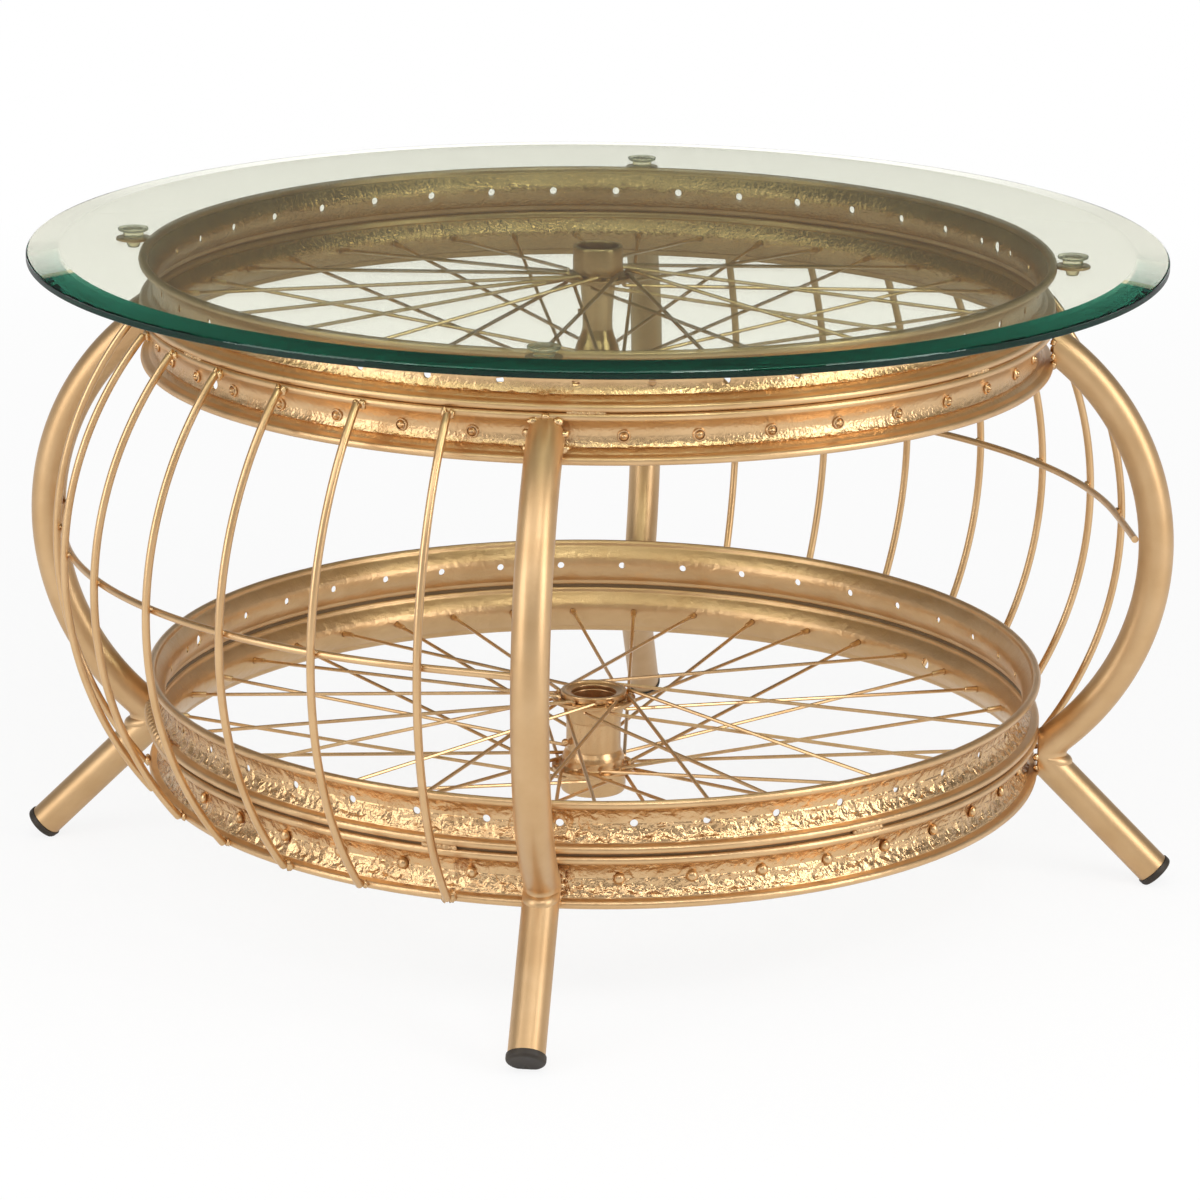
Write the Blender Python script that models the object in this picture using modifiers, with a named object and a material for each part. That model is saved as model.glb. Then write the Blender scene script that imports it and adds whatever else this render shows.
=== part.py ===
"""Coffee table made of two bicycle wheels, four bent tube legs, a wire cage and a loose glass top.

Metres, +Z up. The origin is on the floor under the middle of the table. The front leg is at -Y.
"""

import math

import bmesh
import bpy
import numpy as np
from mathutils import Matrix, Vector

# Clearance between two pieces that touch, and the finish of the meshes
GAP = 0.0003
MERGE_DISTANCE = 0.00001
SHARP_ANGLE = math.radians(40.0)

# Rims: every wheel is an open rim stacked on a spoked rim
SPOKE_COUNT = 40
RIM_RADIUS = 0.325
RIM_BEAD_CREST = 0.005
RIM_BEAD_DROP = 0.0045
RIM_CHANNEL_DEPTH = 0.0115
RIM_CHANNEL_SHOULDER = 0.0100
RIM_WALL = 0.0015
RIM_STACK_GAP = 0.0005
HOLE_SIDES = 5
VALVE_HOLE_RADIUS = 0.0042
VALVE_HOLE_SIDES = 8
FLOOR_CLEARANCE = 0.0790
LOWER_RIM_HEIGHT = 0.0380
SHELF_HEIGHT = 0.2273
UPPER_RIM_HEIGHT = 0.0345
LOWER_OPEN_HOLE_TURN = math.radians(1.8)
UPPER_OPEN_HOLE_TURN = math.radians(3.3)
LOWER_OPEN_VALVE = 18
LOWER_SPOKED_VALVE = 4
UPPER_OPEN_VALVE = 2
UPPER_SPOKED_VALVE = 24

# Spokes and nipples
SPOKE_RADIUS = 0.0012
SPOKE_CROSSES = 3
SPOKE_RISE = 0.0012
SPOKE_RESOLUTION = 0
NIPPLE_RADIUS = 0.0020
NIPPLE_CLEARANCE = 0.0003
NIPPLE_LENGTH = 0.012
NIPPLE_END = 0.0030

# Hubs
HUB_STEPS = 14
HUB_FLANGE = 0.0030
HUB_FLANGE_MARGIN = 0.0040
CUP_WALL = 0.0031
UPPER_FLANGE_SPACING = 0.065
UPPER_WAIST_RADIUS = 0.0103
UPPER_BARREL_RADIUS = 0.0125
UPPER_NECK_RADIUS = 0.0135
UPPER_NECK_HEIGHT = 0.0030
UPPER_BORE_RADIUS = 0.0085
UPPER_CUP_RADIUS = 0.0178
UPPER_CUP_MARGIN = 0.0025
HUB_GLASS_CLEARANCE = 0.0030
LOWER_FLANGE_SPACING = 0.052
LOWER_BARREL_RADIUS = 0.0200
LOWER_CONE_RADIUS = 0.0235
LOWER_CONE_HEIGHT = 0.0140
LOWER_BAND_RADIUS = 0.0228
LOWER_BAND_HEIGHT = 0.0080
LOWER_BAND_SLOPE = 0.0040
LOWER_BORE_RADIUS = 0.0165
LOWER_CUP_RADIUS = 0.0240
LOWER_CUP_MARGIN = 0.0013
LOWER_TOP_CUP_HEIGHT = 0.0050
LOWER_BASE_CUP_HEIGHT = 0.0160
CUP_RACE_HEIGHT = 0.0030
OIL_CAP_RADIUS = 0.0030
OIL_CAP_DROP = 0.0050
OIL_CAP_AZIMUTH = math.radians(214.0)
OIL_CAP_SIDES = 8
OIL_CAP_RINGS = 6

# Legs
LEG_NAMES = ("right", "back", "left", "front")
LEG_RADIUS = 0.0125
LEG_BOW = 0.078
LEG_POINTS = 11
LEG_RESOLUTION = 2
FOOT_SLOPE = math.radians(45.0)
CAP_RADIUS = 0.0137
CAP_THICKNESS = 0.0056
CAP_EDGE = 0.0016
CAP_FLAT = 0.0016
CAP_STEPS = 12

# Cage
CAGED_QUARTERS = {"front_left": "left", "back_right": "right"}
RODS_PER_QUARTER = 7
ROD_RADIUS = 0.0030
ROD_BOW = 0.062
ROD_END_INSET = 0.0030
ROD_POINTS = 7
ROD_RESOLUTION = 1
WIRE_RADIUS = 0.0028
WIRE_RISE = 0.0100
WIRE_STEPS = 16

# Pads and glass
WASHER_RADIUS = 0.0125
WASHER_THICKNESS = 0.0020
WASHER_HOLE = 0.0042
WASHER_DROP = 0.0012
PAD_RADIUS = 0.0110
PAD_LIP = 0.0012
PAD_NECK = 0.0060
PAD_HEIGHT = 0.0066
PAD_FOOT_RADIUS = 0.0058
PAD_FOOT_HEIGHT = 0.0050
PAD_STEPS = 10
GLASS_OVERHANG = 0.078
GLASS_THICKNESS = 0.0072
GLASS_BEVEL_WIDTH = 0.0235
GLASS_EDGE = 0.0052
GLASS_ARRIS = 0.0006
GLASS_STEPS = 48

# Heights and radii that follow from the sizes above
QUARTER_TURN = math.pi / 2
SPOKE_TURN = 2 * math.pi / SPOKE_COUNT
FACET = math.cos(SPOKE_TURN / 2)
RIM_FLAT = RIM_RADIUS * FACET
LEG_SEAT = RIM_FLAT + GAP
LEG_REACH = RIM_RADIUS + LEG_BOW
ROD_REACH = RIM_RADIUS + ROD_BOW
GLASS_RADIUS = RIM_RADIUS + GLASS_OVERHANG
SPOKE_HOLE_RADIUS = (NIPPLE_RADIUS + NIPPLE_CLEARANCE) / math.cos(math.pi / HOLE_SIDES)
UPPER_SPOKE_CIRCLE = UPPER_CUP_RADIUS + UPPER_CUP_MARGIN + SPOKE_RADIUS
LOWER_SPOKE_CIRCLE = LOWER_CUP_RADIUS + LOWER_CUP_MARGIN + SPOKE_RADIUS
LOWER_MIDDLE = FLOOR_CLEARANCE + LOWER_RIM_HEIGHT / 2
LOWER_OPEN_MIDDLE = LOWER_MIDDLE + LOWER_RIM_HEIGHT + RIM_STACK_GAP
UPPER_WHEEL_BASE = LOWER_OPEN_MIDDLE + LOWER_RIM_HEIGHT / 2 + SHELF_HEIGHT
UPPER_MIDDLE = UPPER_WHEEL_BASE + UPPER_RIM_HEIGHT / 2
UPPER_OPEN_MIDDLE = UPPER_MIDDLE + UPPER_RIM_HEIGHT + RIM_STACK_GAP
RIM_TOP = UPPER_OPEN_MIDDLE + UPPER_RIM_HEIGHT / 2
WIRE_HEIGHT = (LOWER_MIDDLE + UPPER_MIDDLE) / 2 + WIRE_RISE
WASHER_TOP = RIM_TOP - WASHER_DROP
PAD_STEM = WASHER_HOLE - GAP
GLASS_BASE = WASHER_TOP + GAP + PAD_HEIGHT + GAP

TABLE = bpy.data.collections.new("bicycle_wheel_coffee_table")
CUTTERS = bpy.data.collections.new("cutters")


def clear_scene():
    """Remove whatever the file starts with and add the two collections."""
    for obj in list(bpy.data.objects):
        bpy.data.objects.remove(obj, do_unlink=True)
    for collection in (TABLE, CUTTERS):
        bpy.context.scene.collection.children.link(collection)


def make_material(name, colour, roughness, metallic=0.0, transmission=0.0):
    material = bpy.data.materials.new(name)
    material.use_nodes = True
    shader = material.node_tree.nodes["Principled BSDF"]
    shader.inputs["Base Color"].default_value = (*colour, 1.0)
    shader.inputs["Roughness"].default_value = roughness
    shader.inputs["Metallic"].default_value = metallic
    shader.inputs["Transmission Weight"].default_value = transmission
    return material


def add_object(name, data, material):
    """A piece of the table."""
    obj = bpy.data.objects.new(name, data)
    data.materials.append(material)
    TABLE.objects.link(obj)
    return obj


def add_cutter(name, mesh):
    """A helper that cuts or joins other pieces and isn't one itself."""
    obj = bpy.data.objects.new(name, mesh)
    obj.hide_render = True
    obj.display_type = "WIRE"
    CUTTERS.objects.link(obj)
    return obj


def boolean(obj, tool, operation):
    modifier = obj.modifiers.new(operation.lower(), "BOOLEAN")
    modifier.operation = operation
    modifier.object = tool
    modifier.solver = "EXACT"


def turned(name, profile, steps, material, ring=False):
    """A profile of (radius, height) points turned about Z; a ring's profile is a closed loop."""
    mesh = bpy.data.meshes.new(name)
    count = len(profile)
    edges = [(i, i + 1) for i in range(count - 1)]
    if ring:
        edges.append((count - 1, 0))
    mesh.from_pydata([(radius, 0.0, height) for radius, height in profile], edges, [])
    obj = add_object(name, mesh, material)
    screw = obj.modifiers.new("turn", "SCREW")
    screw.axis = "Z"
    screw.steps = steps
    screw.render_steps = steps
    screw.use_merge_vertices = True
    screw.merge_threshold = MERGE_DISTANCE
    screw.use_smooth_shade = True
    return obj


def tube_curve(name, paths, radius, resolution):
    """A curve object with one filled tube for each path of (point, radius factor) pairs."""
    curve = bpy.data.curves.new(name, "CURVE")
    curve.dimensions = "3D"
    curve.bevel_depth = radius
    curve.bevel_resolution = resolution
    curve.use_fill_caps = True
    for path in paths:
        spline = curve.splines.new("POLY")
        spline.points.add(len(path) - 1)
        for target, (point, factor) in zip(spline.points, path):
            target.co = (*point, 1.0)
            target.radius = factor
    return curve


def wire(name, points, radius, material):
    """A rod or wire of even thickness."""
    path = [(point, 1.0) for point in points]
    add_object(name, tube_curve(name, [path], radius, ROD_RESOLUTION), material)


def curve_to_mesh(curve):
    """The mesh of a curve, with its caps welded on."""
    holder = bpy.data.objects.new(curve.name, curve)
    TABLE.objects.link(holder)
    depsgraph = bpy.context.evaluated_depsgraph_get()
    mesh = bpy.data.meshes.new_from_object(holder.evaluated_get(depsgraph))
    bpy.data.objects.remove(holder)
    shape = bmesh.new()
    shape.from_mesh(mesh)
    bmesh.ops.remove_doubles(shape, verts=shape.verts, dist=MERGE_DISTANCE)
    bmesh.ops.recalc_face_normals(shape, faces=shape.faces)
    shape.to_mesh(mesh)
    shape.free()
    return mesh


def mesh_tube(name, points, material):
    """A length of leg tube, made a mesh because it is cut."""
    path = [(point, 1.0) for point in points]
    mesh = curve_to_mesh(tube_curve(name, [path], LEG_RADIUS, LEG_RESOLUTION))
    mesh.shade_smooth()
    mesh.set_sharp_from_angle(angle=SHARP_ANGLE)
    return add_object(name, mesh, material)


def slab_cutter(name, size, centre, pitch=0.0):
    """A block that cuts away one side of a plane, tilted about Y by the pitch."""
    shape = bmesh.new()
    bmesh.ops.create_cube(shape, size=size)
    mesh = bpy.data.meshes.new(name)
    shape.to_mesh(mesh)
    shape.free()
    obj = add_cutter(name, mesh)
    obj.matrix_world = Matrix.Translation(centre) @ Matrix.Rotation(pitch, 4, "Y")
    return obj


def on_azimuth(radius, height, azimuth):
    return Vector((radius * math.cos(azimuth), radius * math.sin(azimuth), height))


def arc_between(radius, low, high, reach, count):
    """Points (radius, height) of an arc bowed out to the reach, from the low end to the high one."""
    half = (high - low) / 2
    bow = reach - radius
    arc = (half * half + bow * bow) / (2 * bow)
    spread = math.asin(half / arc)
    middle = (high + low) / 2
    turns = [spread * (2 * i / (count - 1) - 1) for i in range(count)]
    return [(reach - arc + arc * math.cos(turn), middle + arc * math.sin(turn)) for turn in turns]


def radius_at(height, arc):
    """Radius at a height of the straight runs between an arc's points."""
    radii, heights = zip(*arc)
    return float(np.interp(height, heights, radii))


def leg_arc():
    return arc_between(LEG_SEAT, LOWER_MIDDLE, UPPER_MIDDLE, LEG_REACH, LEG_POINTS)


def rod_arc(azimuth):
    """From the lowest bead to the top bead of the upper spoked rim."""
    low = FLOOR_CLEARANCE + ROD_END_INSET
    high = UPPER_WHEEL_BASE + UPPER_RIM_HEIGHT - ROD_END_INSET
    seat = rim_face(azimuth) + ROD_RADIUS + GAP
    return arc_between(seat, low, high, ROD_REACH, ROD_POINTS)


def rim_face(azimuth):
    """Distance from the axis to a rim's outermost faces along an azimuth."""
    offset = (azimuth + SPOKE_TURN / 2) % SPOKE_TURN - SPOKE_TURN / 2
    return RIM_FLAT / math.cos(offset)


def rim_profile(height):
    """A curled bead above and below an open channel, as a closed loop down the outside and up the inside."""
    half = height / 2
    floor = RIM_RADIUS - RIM_CHANNEL_DEPTH
    outside = [
        (RIM_RADIUS - RIM_BEAD_CREST, half),
        (RIM_RADIUS, half - RIM_BEAD_DROP),
        (floor, half - RIM_CHANNEL_SHOULDER),
    ]
    inside = [(floor - RIM_WALL, half - RIM_CHANNEL_SHOULDER)]
    below = [(radius, -z) for radius, z in reversed(outside)]
    return outside + below + [(radius, -z) for radius, z in inside] + inside


def hole_cutters(name, turn, valve):
    """One pin for each spoke hole, and a thicker one for the valve between two of them."""
    floor = (RIM_RADIUS - RIM_CHANNEL_DEPTH) * FACET
    shape = bmesh.new()
    places = [(k * SPOKE_TURN, SPOKE_HOLE_RADIUS, HOLE_SIDES) for k in range(SPOKE_COUNT)]
    places.append(((valve + 0.5) * SPOKE_TURN, VALVE_HOLE_RADIUS, VALVE_HOLE_SIDES))
    for azimuth, radius, sides in places:
        place = (
            Matrix.Rotation(azimuth + turn, 4, "Z")
            @ Matrix.Translation((floor, 0.0, 0.0))
            @ Matrix.Rotation(QUARTER_TURN, 4, "Y")
        )
        bmesh.ops.create_cone(
            shape,
            cap_ends=True,
            segments=sides,
            radius1=radius,
            radius2=radius,
            depth=RIM_CHANNEL_DEPTH,
            matrix=place,
        )
    mesh = bpy.data.meshes.new(name)
    shape.to_mesh(mesh)
    shape.free()
    return add_cutter(name, mesh)


def make_rim(name, middle, height, turn, valve, material):
    """A rim with one spoke hole in each facet, turned by its own angle from the facet's middle."""
    rim = turned(name, rim_profile(height), SPOKE_COUNT, material, ring=True)
    rim.location.z = middle
    rim.rotation_euler.z = -SPOKE_TURN / 2
    cutter = hole_cutters(name + "_holes", turn, valve)
    cutter.location.z = middle
    boolean(rim, cutter, "DIFFERENCE")


def spoke_path(flange_height, side, hub_azimuth, rim_azimuth, circle, height):
    """From inside the flange, round the elbow and out to the end of the nipple."""
    elbow_height = flange_height + side * (HUB_FLANGE / 2 + SPOKE_RADIUS + SPOKE_RISE)
    root = on_azimuth(circle, flange_height, hub_azimuth)
    elbow = on_azimuth(circle, elbow_height, hub_azimuth)
    hole = on_azimuth((RIM_RADIUS - RIM_CHANNEL_DEPTH - RIM_WALL / 2) * FACET, height, rim_azimuth)
    along = (hole - elbow).normalized()
    end = hole + along * NIPPLE_END
    nipple = end - along * NIPPLE_LENGTH
    thick = NIPPLE_RADIUS / SPOKE_RADIUS
    return [(root, 1.0), (elbow, 1.0), (nipple, 1.0), (end, thick)]


def wheel_spokes(name, middle, spacing, circle):
    """All spokes of a wheel: on each flange, every second one leaves the outer side and trails back."""
    paths = []
    per_flange = SPOKE_COUNT // 2
    lead = SPOKE_CROSSES * 2 * math.pi / per_flange
    for k in range(SPOKE_COUNT):
        flange = -1 if k % 2 == 0 else 1
        outer = (k // 2) % 2 == 0
        rim_azimuth = k * SPOKE_TURN
        hub_azimuth = rim_azimuth + (lead if outer else -lead)
        side = flange if outer else -flange
        height = middle + flange * spacing / 2
        paths.append(spoke_path(height, side, hub_azimuth, rim_azimuth, circle, middle))
    return add_cutter(name, curve_to_mesh(tube_curve(name, paths, SPOKE_RADIUS, SPOKE_RESOLUTION)))


def upper_hub_profile():
    """A slim hub, the same above and below its waist."""
    flange = UPPER_FLANGE_SPACING / 2
    half = HUB_FLANGE / 2
    above = [
        (UPPER_NECK_RADIUS, flange + half + UPPER_NECK_HEIGHT),
        (UPPER_NECK_RADIUS, flange + half),
        (UPPER_SPOKE_CIRCLE + HUB_FLANGE_MARGIN, flange + half),
        (UPPER_SPOKE_CIRCLE + HUB_FLANGE_MARGIN, flange - half),
        (UPPER_BARREL_RADIUS, flange - half),
    ]
    below = [(radius, -z) for radius, z in reversed(above)]
    end = above[0][1]
    bore = [(UPPER_BORE_RADIUS, -end), (UPPER_BORE_RADIUS, end)]
    return above + [(UPPER_WAIST_RADIUS, 0.0)] + below + bore


def lower_hub_profile():
    """A fat hub: a cone under its upper flange, a straight barrel and a band above its lower flange."""
    flange = LOWER_FLANGE_SPACING / 2
    half = HUB_FLANGE / 2
    edge = LOWER_SPOKE_CIRCLE + HUB_FLANGE_MARGIN
    outside = [
        (edge, flange + half),
        (edge, flange - half),
        (LOWER_CONE_RADIUS, flange - half),
        (LOWER_BARREL_RADIUS, flange - half - LOWER_CONE_HEIGHT),
        (LOWER_BARREL_RADIUS, -flange + half + LOWER_BAND_HEIGHT + LOWER_BAND_SLOPE),
        (LOWER_BAND_RADIUS, -flange + half + LOWER_BAND_HEIGHT),
        (LOWER_BAND_RADIUS, -flange + half),
        (edge, -flange + half),
        (edge, -flange - half),
    ]
    bore = [(LOWER_BORE_RADIUS, -flange - half), (LOWER_BORE_RADIUS, flange + half)]
    return outside + bore


def make_cup(name, seat, direction, radius, height, race, material):
    """A bearing cup that opens away from the hub: a race at its seat and a wider bore outside."""
    bore = radius - CUP_WALL
    profile = [
        (radius, height),
        (radius, 0.0),
        (race, 0.0),
        (race, CUP_RACE_HEIGHT),
        (bore, CUP_RACE_HEIGHT),
        (bore, height),
    ]
    cup = turned(name, profile, HUB_STEPS, material, ring=True)
    cup.location.z = seat + direction * GAP
    if direction < 0:
        cup.rotation_euler.x = math.pi


def make_hub(name, middle, profile, spacing, circle, material):
    """A hub with the wheel's spokes fused into its flanges."""
    hub = turned(name, profile, HUB_STEPS, material, ring=True)
    hub.location.z = middle
    boolean(hub, wheel_spokes(name + "_lacing", middle, spacing, circle), "UNION")


def make_wheels(paint):
    make_rim("lower_spoked_rim", LOWER_MIDDLE, LOWER_RIM_HEIGHT, 0.0, LOWER_SPOKED_VALVE, paint)
    make_rim(
        "lower_open_rim", LOWER_OPEN_MIDDLE, LOWER_RIM_HEIGHT, LOWER_OPEN_HOLE_TURN, LOWER_OPEN_VALVE, paint
    )
    make_rim("upper_spoked_rim", UPPER_MIDDLE, UPPER_RIM_HEIGHT, 0.0, UPPER_SPOKED_VALVE, paint)
    make_rim(
        "upper_open_rim", UPPER_OPEN_MIDDLE, UPPER_RIM_HEIGHT, UPPER_OPEN_HOLE_TURN, UPPER_OPEN_VALVE, paint
    )
    make_hub(
        "upper_hub_and_spokes",
        UPPER_MIDDLE,
        upper_hub_profile(),
        UPPER_FLANGE_SPACING,
        UPPER_SPOKE_CIRCLE,
        paint,
    )
    make_hub(
        "lower_hub_and_spokes",
        LOWER_MIDDLE,
        lower_hub_profile(),
        LOWER_FLANGE_SPACING,
        LOWER_SPOKE_CIRCLE,
        paint,
    )
    upper_end = UPPER_FLANGE_SPACING / 2 + HUB_FLANGE / 2 + UPPER_NECK_HEIGHT
    upper_cup_height = GLASS_BASE - HUB_GLASS_CLEARANCE - UPPER_MIDDLE - upper_end - GAP
    for side, direction in (("top", 1), ("base", -1)):
        make_cup(
            f"upper_hub_{side}_cup",
            UPPER_MIDDLE + direction * upper_end,
            direction,
            UPPER_CUP_RADIUS,
            upper_cup_height,
            UPPER_BORE_RADIUS,
            paint,
        )
    lower_end = LOWER_FLANGE_SPACING / 2 + HUB_FLANGE / 2
    for side, direction, height in (("top", 1, LOWER_TOP_CUP_HEIGHT), ("base", -1, LOWER_BASE_CUP_HEIGHT)):
        make_cup(
            f"lower_hub_{side}_cup",
            LOWER_MIDDLE + direction * lower_end,
            direction,
            LOWER_CUP_RADIUS,
            height,
            LOWER_BORE_RADIUS,
            paint,
        )


def make_oil_cap(paint):
    """A ball-headed oiler on the side of the lower hub's barrel."""
    mesh = bpy.data.meshes.new("lower_hub_oil_cap")
    shape = bmesh.new()
    bmesh.ops.create_uvsphere(
        shape, u_segments=OIL_CAP_SIDES, v_segments=OIL_CAP_RINGS, radius=OIL_CAP_RADIUS
    )
    shape.to_mesh(mesh)
    shape.free()
    mesh.shade_smooth()
    cap = add_object("lower_hub_oil_cap", mesh, paint)
    reach = LOWER_BARREL_RADIUS + GAP + OIL_CAP_RADIUS
    cap.location = on_azimuth(reach, LOWER_MIDDLE - OIL_CAP_DROP, OIL_CAP_AZIMUTH)


def make_legs(paint, plastic):
    """Bow, foot and cap of each leg, modelled toward +X and turned to its place."""
    bow_points = leg_arc()
    heading = Vector(bow_points[1]) - Vector(bow_points[0])
    low_tail = Vector(bow_points[0]) - heading
    high_tail = Vector((low_tail.x, LOWER_MIDDLE + UPPER_MIDDLE - low_tail.y))
    bow_path = [(radius, 0.0, height) for radius, height in (low_tail, *bow_points, high_tail)]
    foot_way = Vector((math.cos(FOOT_SLOPE), -math.sin(FOOT_SLOPE)))
    mitre = heading.normalized() + foot_way
    pitch = -math.atan2(mitre.y, mitre.x)
    joint = Vector((LEG_SEAT, 0.0, LOWER_MIDDLE))
    sole = (CAP_RADIUS - CAP_EDGE) * math.cos(FOOT_SLOPE)
    side = CAP_RADIUS * math.cos(FOOT_SLOPE) - CAP_EDGE * math.sin(FOOT_SLOPE)
    length = (LOWER_MIDDLE + CAP_FLAT - max(sole, side)) / math.sin(FOOT_SLOPE)
    block = 2 * LEG_REACH
    seat = slab_cutter("leg_seat_cut", block, (LEG_SEAT - block / 2, 0.0, LOWER_MIDDLE))
    normal = Vector((math.sin(pitch), 0.0, math.cos(pitch)))
    under = slab_cutter("bow_mitre_cut", block, joint + normal * (GAP / 2 - block / 2), pitch)
    over = slab_cutter("foot_mitre_cut", block, joint + normal * (block / 2 - GAP / 2), pitch)
    floor = slab_cutter("floor_cut", block, (LEG_SEAT, 0.0, -block / 2))
    foot_axis = Vector((foot_way.x, 0.0, foot_way.y))
    foot_path = [joint - foot_axis * 2 * LEG_RADIUS, joint + foot_axis * (length - CAP_THICKNESS - GAP)]
    for k, name in enumerate(LEG_NAMES):
        turn = bpy.data.objects.new(f"{name}_leg", None)
        TABLE.objects.link(turn)
        turn.rotation_euler.z = k * QUARTER_TURN
        bow = mesh_tube(f"leg_bow_{name}", bow_path, paint)
        foot = mesh_tube(f"leg_foot_{name}", foot_path, paint)
        cap = turned(f"foot_cap_{name}", cap_profile(), CAP_STEPS, plastic)
        cap.location = joint + foot_axis * length
        cap.rotation_euler.y = FOOT_SLOPE - QUARTER_TURN
        for piece, cutters in ((bow, (seat, under)), (foot, (seat, over)), (cap, (floor,))):
            piece.parent = turn
            for cutter in cutters:
                copy = add_cutter(f"{cutter.name}_{piece.name}", cutter.data)
                copy.matrix_local = cutter.matrix_world
                copy.parent = turn
                boolean(piece, copy, "DIFFERENCE")
    for guide in (seat, under, over, floor):
        bpy.data.objects.remove(guide)


def cap_profile():
    """A round-edged disc whose sole faces down the axis."""
    return [
        (0.0, CAP_THICKNESS),
        (CAP_RADIUS - CAP_EDGE / 2, CAP_THICKNESS),
        (CAP_RADIUS, CAP_THICKNESS - CAP_EDGE / 2),
        (CAP_RADIUS, CAP_EDGE),
        (CAP_RADIUS - CAP_EDGE, 0.0),
        (0.0, 0.0),
    ]


def make_cage(paint):
    """Seven rods and a wire hoop on each caged quarter, counted from the leg that the quarter starts at."""
    gap_turn = QUARTER_TURN / (RODS_PER_QUARTER + 1)
    for quarter, first_leg in CAGED_QUARTERS.items():
        start = LEG_NAMES.index(first_leg) * QUARTER_TURN
        for k in range(1, RODS_PER_QUARTER + 1):
            azimuth = start + k * gap_turn
            points = [on_azimuth(radius, height, azimuth) for radius, height in rod_arc(azimuth)]
            wire(f"{quarter}_rod_{k}", points, ROD_RADIUS, paint)
        wire(f"{quarter}_wire", wire_points(start), WIRE_RADIUS, paint)


def wire_points(start):
    """Inside the rods, easing outward to the inner side of a leg at each end."""
    along_rods = radius_at(WIRE_HEIGHT, rod_arc(start)) - ROD_RADIUS - WIRE_RADIUS - GAP
    at_legs = radius_at(WIRE_HEIGHT, leg_arc()) - LEG_RADIUS - WIRE_RADIUS - GAP
    points = []
    for i in range(WIRE_STEPS + 1):
        share = i / WIRE_STEPS
        from_leg = min(share, 1 - share) * (RODS_PER_QUARTER + 1)
        ease = max(0.0, 1 - from_leg)
        radius = along_rods + (at_legs - along_rods) * ease * ease
        points.append(on_azimuth(radius, WIRE_HEIGHT, start + share * QUARTER_TURN))
    return points


def washer_profile():
    return [
        (WASHER_RADIUS, 0.0),
        (WASHER_RADIUS, -WASHER_THICKNESS),
        (WASHER_HOLE, -WASHER_THICKNESS),
        (WASHER_HOLE, 0.0),
    ]


def pad_profile():
    """A cup that spreads to the glass, a stem through the washer and a button below it."""
    button = -WASHER_THICKNESS - GAP
    return [
        (0.0, GAP + PAD_HEIGHT),
        (PAD_RADIUS, GAP + PAD_HEIGHT),
        (PAD_RADIUS, GAP + PAD_HEIGHT - PAD_LIP),
        (PAD_NECK, GAP),
        (PAD_STEM, GAP),
        (PAD_STEM, button),
        (PAD_FOOT_RADIUS, button),
        (PAD_STEM, button - PAD_FOOT_HEIGHT),
        (0.0, button - PAD_FOOT_HEIGHT),
    ]


def make_pads(paint, clear):
    """A washer welded to the top bead over each leg, and the clear pad that sits in it."""
    depth = min(1.0, (WASHER_DROP + WASHER_THICKNESS) / RIM_BEAD_DROP)
    bead = (RIM_RADIUS - RIM_BEAD_CREST * (1 - depth)) * FACET
    for k, name in enumerate(LEG_NAMES):
        azimuth = k * QUARTER_TURN
        washer = turned(f"pad_washer_{name}", washer_profile(), PAD_STEPS, paint, ring=True)
        pad = turned(f"glass_pad_{name}", pad_profile(), PAD_STEPS, clear)
        for piece in (washer, pad):
            piece.location = on_azimuth(bead + GAP + WASHER_RADIUS, WASHER_TOP, azimuth)
            piece.rotation_euler.z = azimuth


def make_glass(glass):
    """A pane with a wide bevel round its upper face, resting on the pads."""
    profile = [
        (0.0, GLASS_THICKNESS),
        (GLASS_RADIUS - GLASS_BEVEL_WIDTH, GLASS_THICKNESS),
        (GLASS_RADIUS, GLASS_EDGE),
        (GLASS_RADIUS, GLASS_ARRIS),
        (GLASS_RADIUS - GLASS_ARRIS, 0.0),
        (0.0, 0.0),
    ]
    turned("glass_top", profile, GLASS_STEPS, glass).location.z = GLASS_BASE


def build_table():
    clear_scene()
    paint = make_material("gold paint", (0.56, 0.35, 0.14), 0.34, metallic=0.85)
    glass = make_material("green edged glass", (0.86, 0.95, 0.90), 0.02, transmission=1.0)
    clear = make_material("clear rubber", (0.80, 0.86, 0.78), 0.15, transmission=0.8)
    plastic = make_material("black plastic", (0.02, 0.018, 0.016), 0.55)
    make_wheels(paint)
    make_oil_cap(paint)
    make_legs(paint, plastic)
    make_cage(paint)
    make_pads(paint, clear)
    make_glass(glass)


build_table()
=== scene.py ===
# %% [markdown]
# # A coffee table made of bicycle wheels
# Four steel rims, two of them still laced to their hubs, carry a round pane of bevelled glass.
# Bowed tube legs and two cages of thin rods join the wheels, and one coat of champagne gold covers
# all the metal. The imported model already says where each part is, so this file only has to give the
# parts their real surfaces: the frame is loaded first and every new piece goes where the frame says.

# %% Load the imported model
import math
import bpy
import numpy as np
from mathutils import Matrix, Vector


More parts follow.
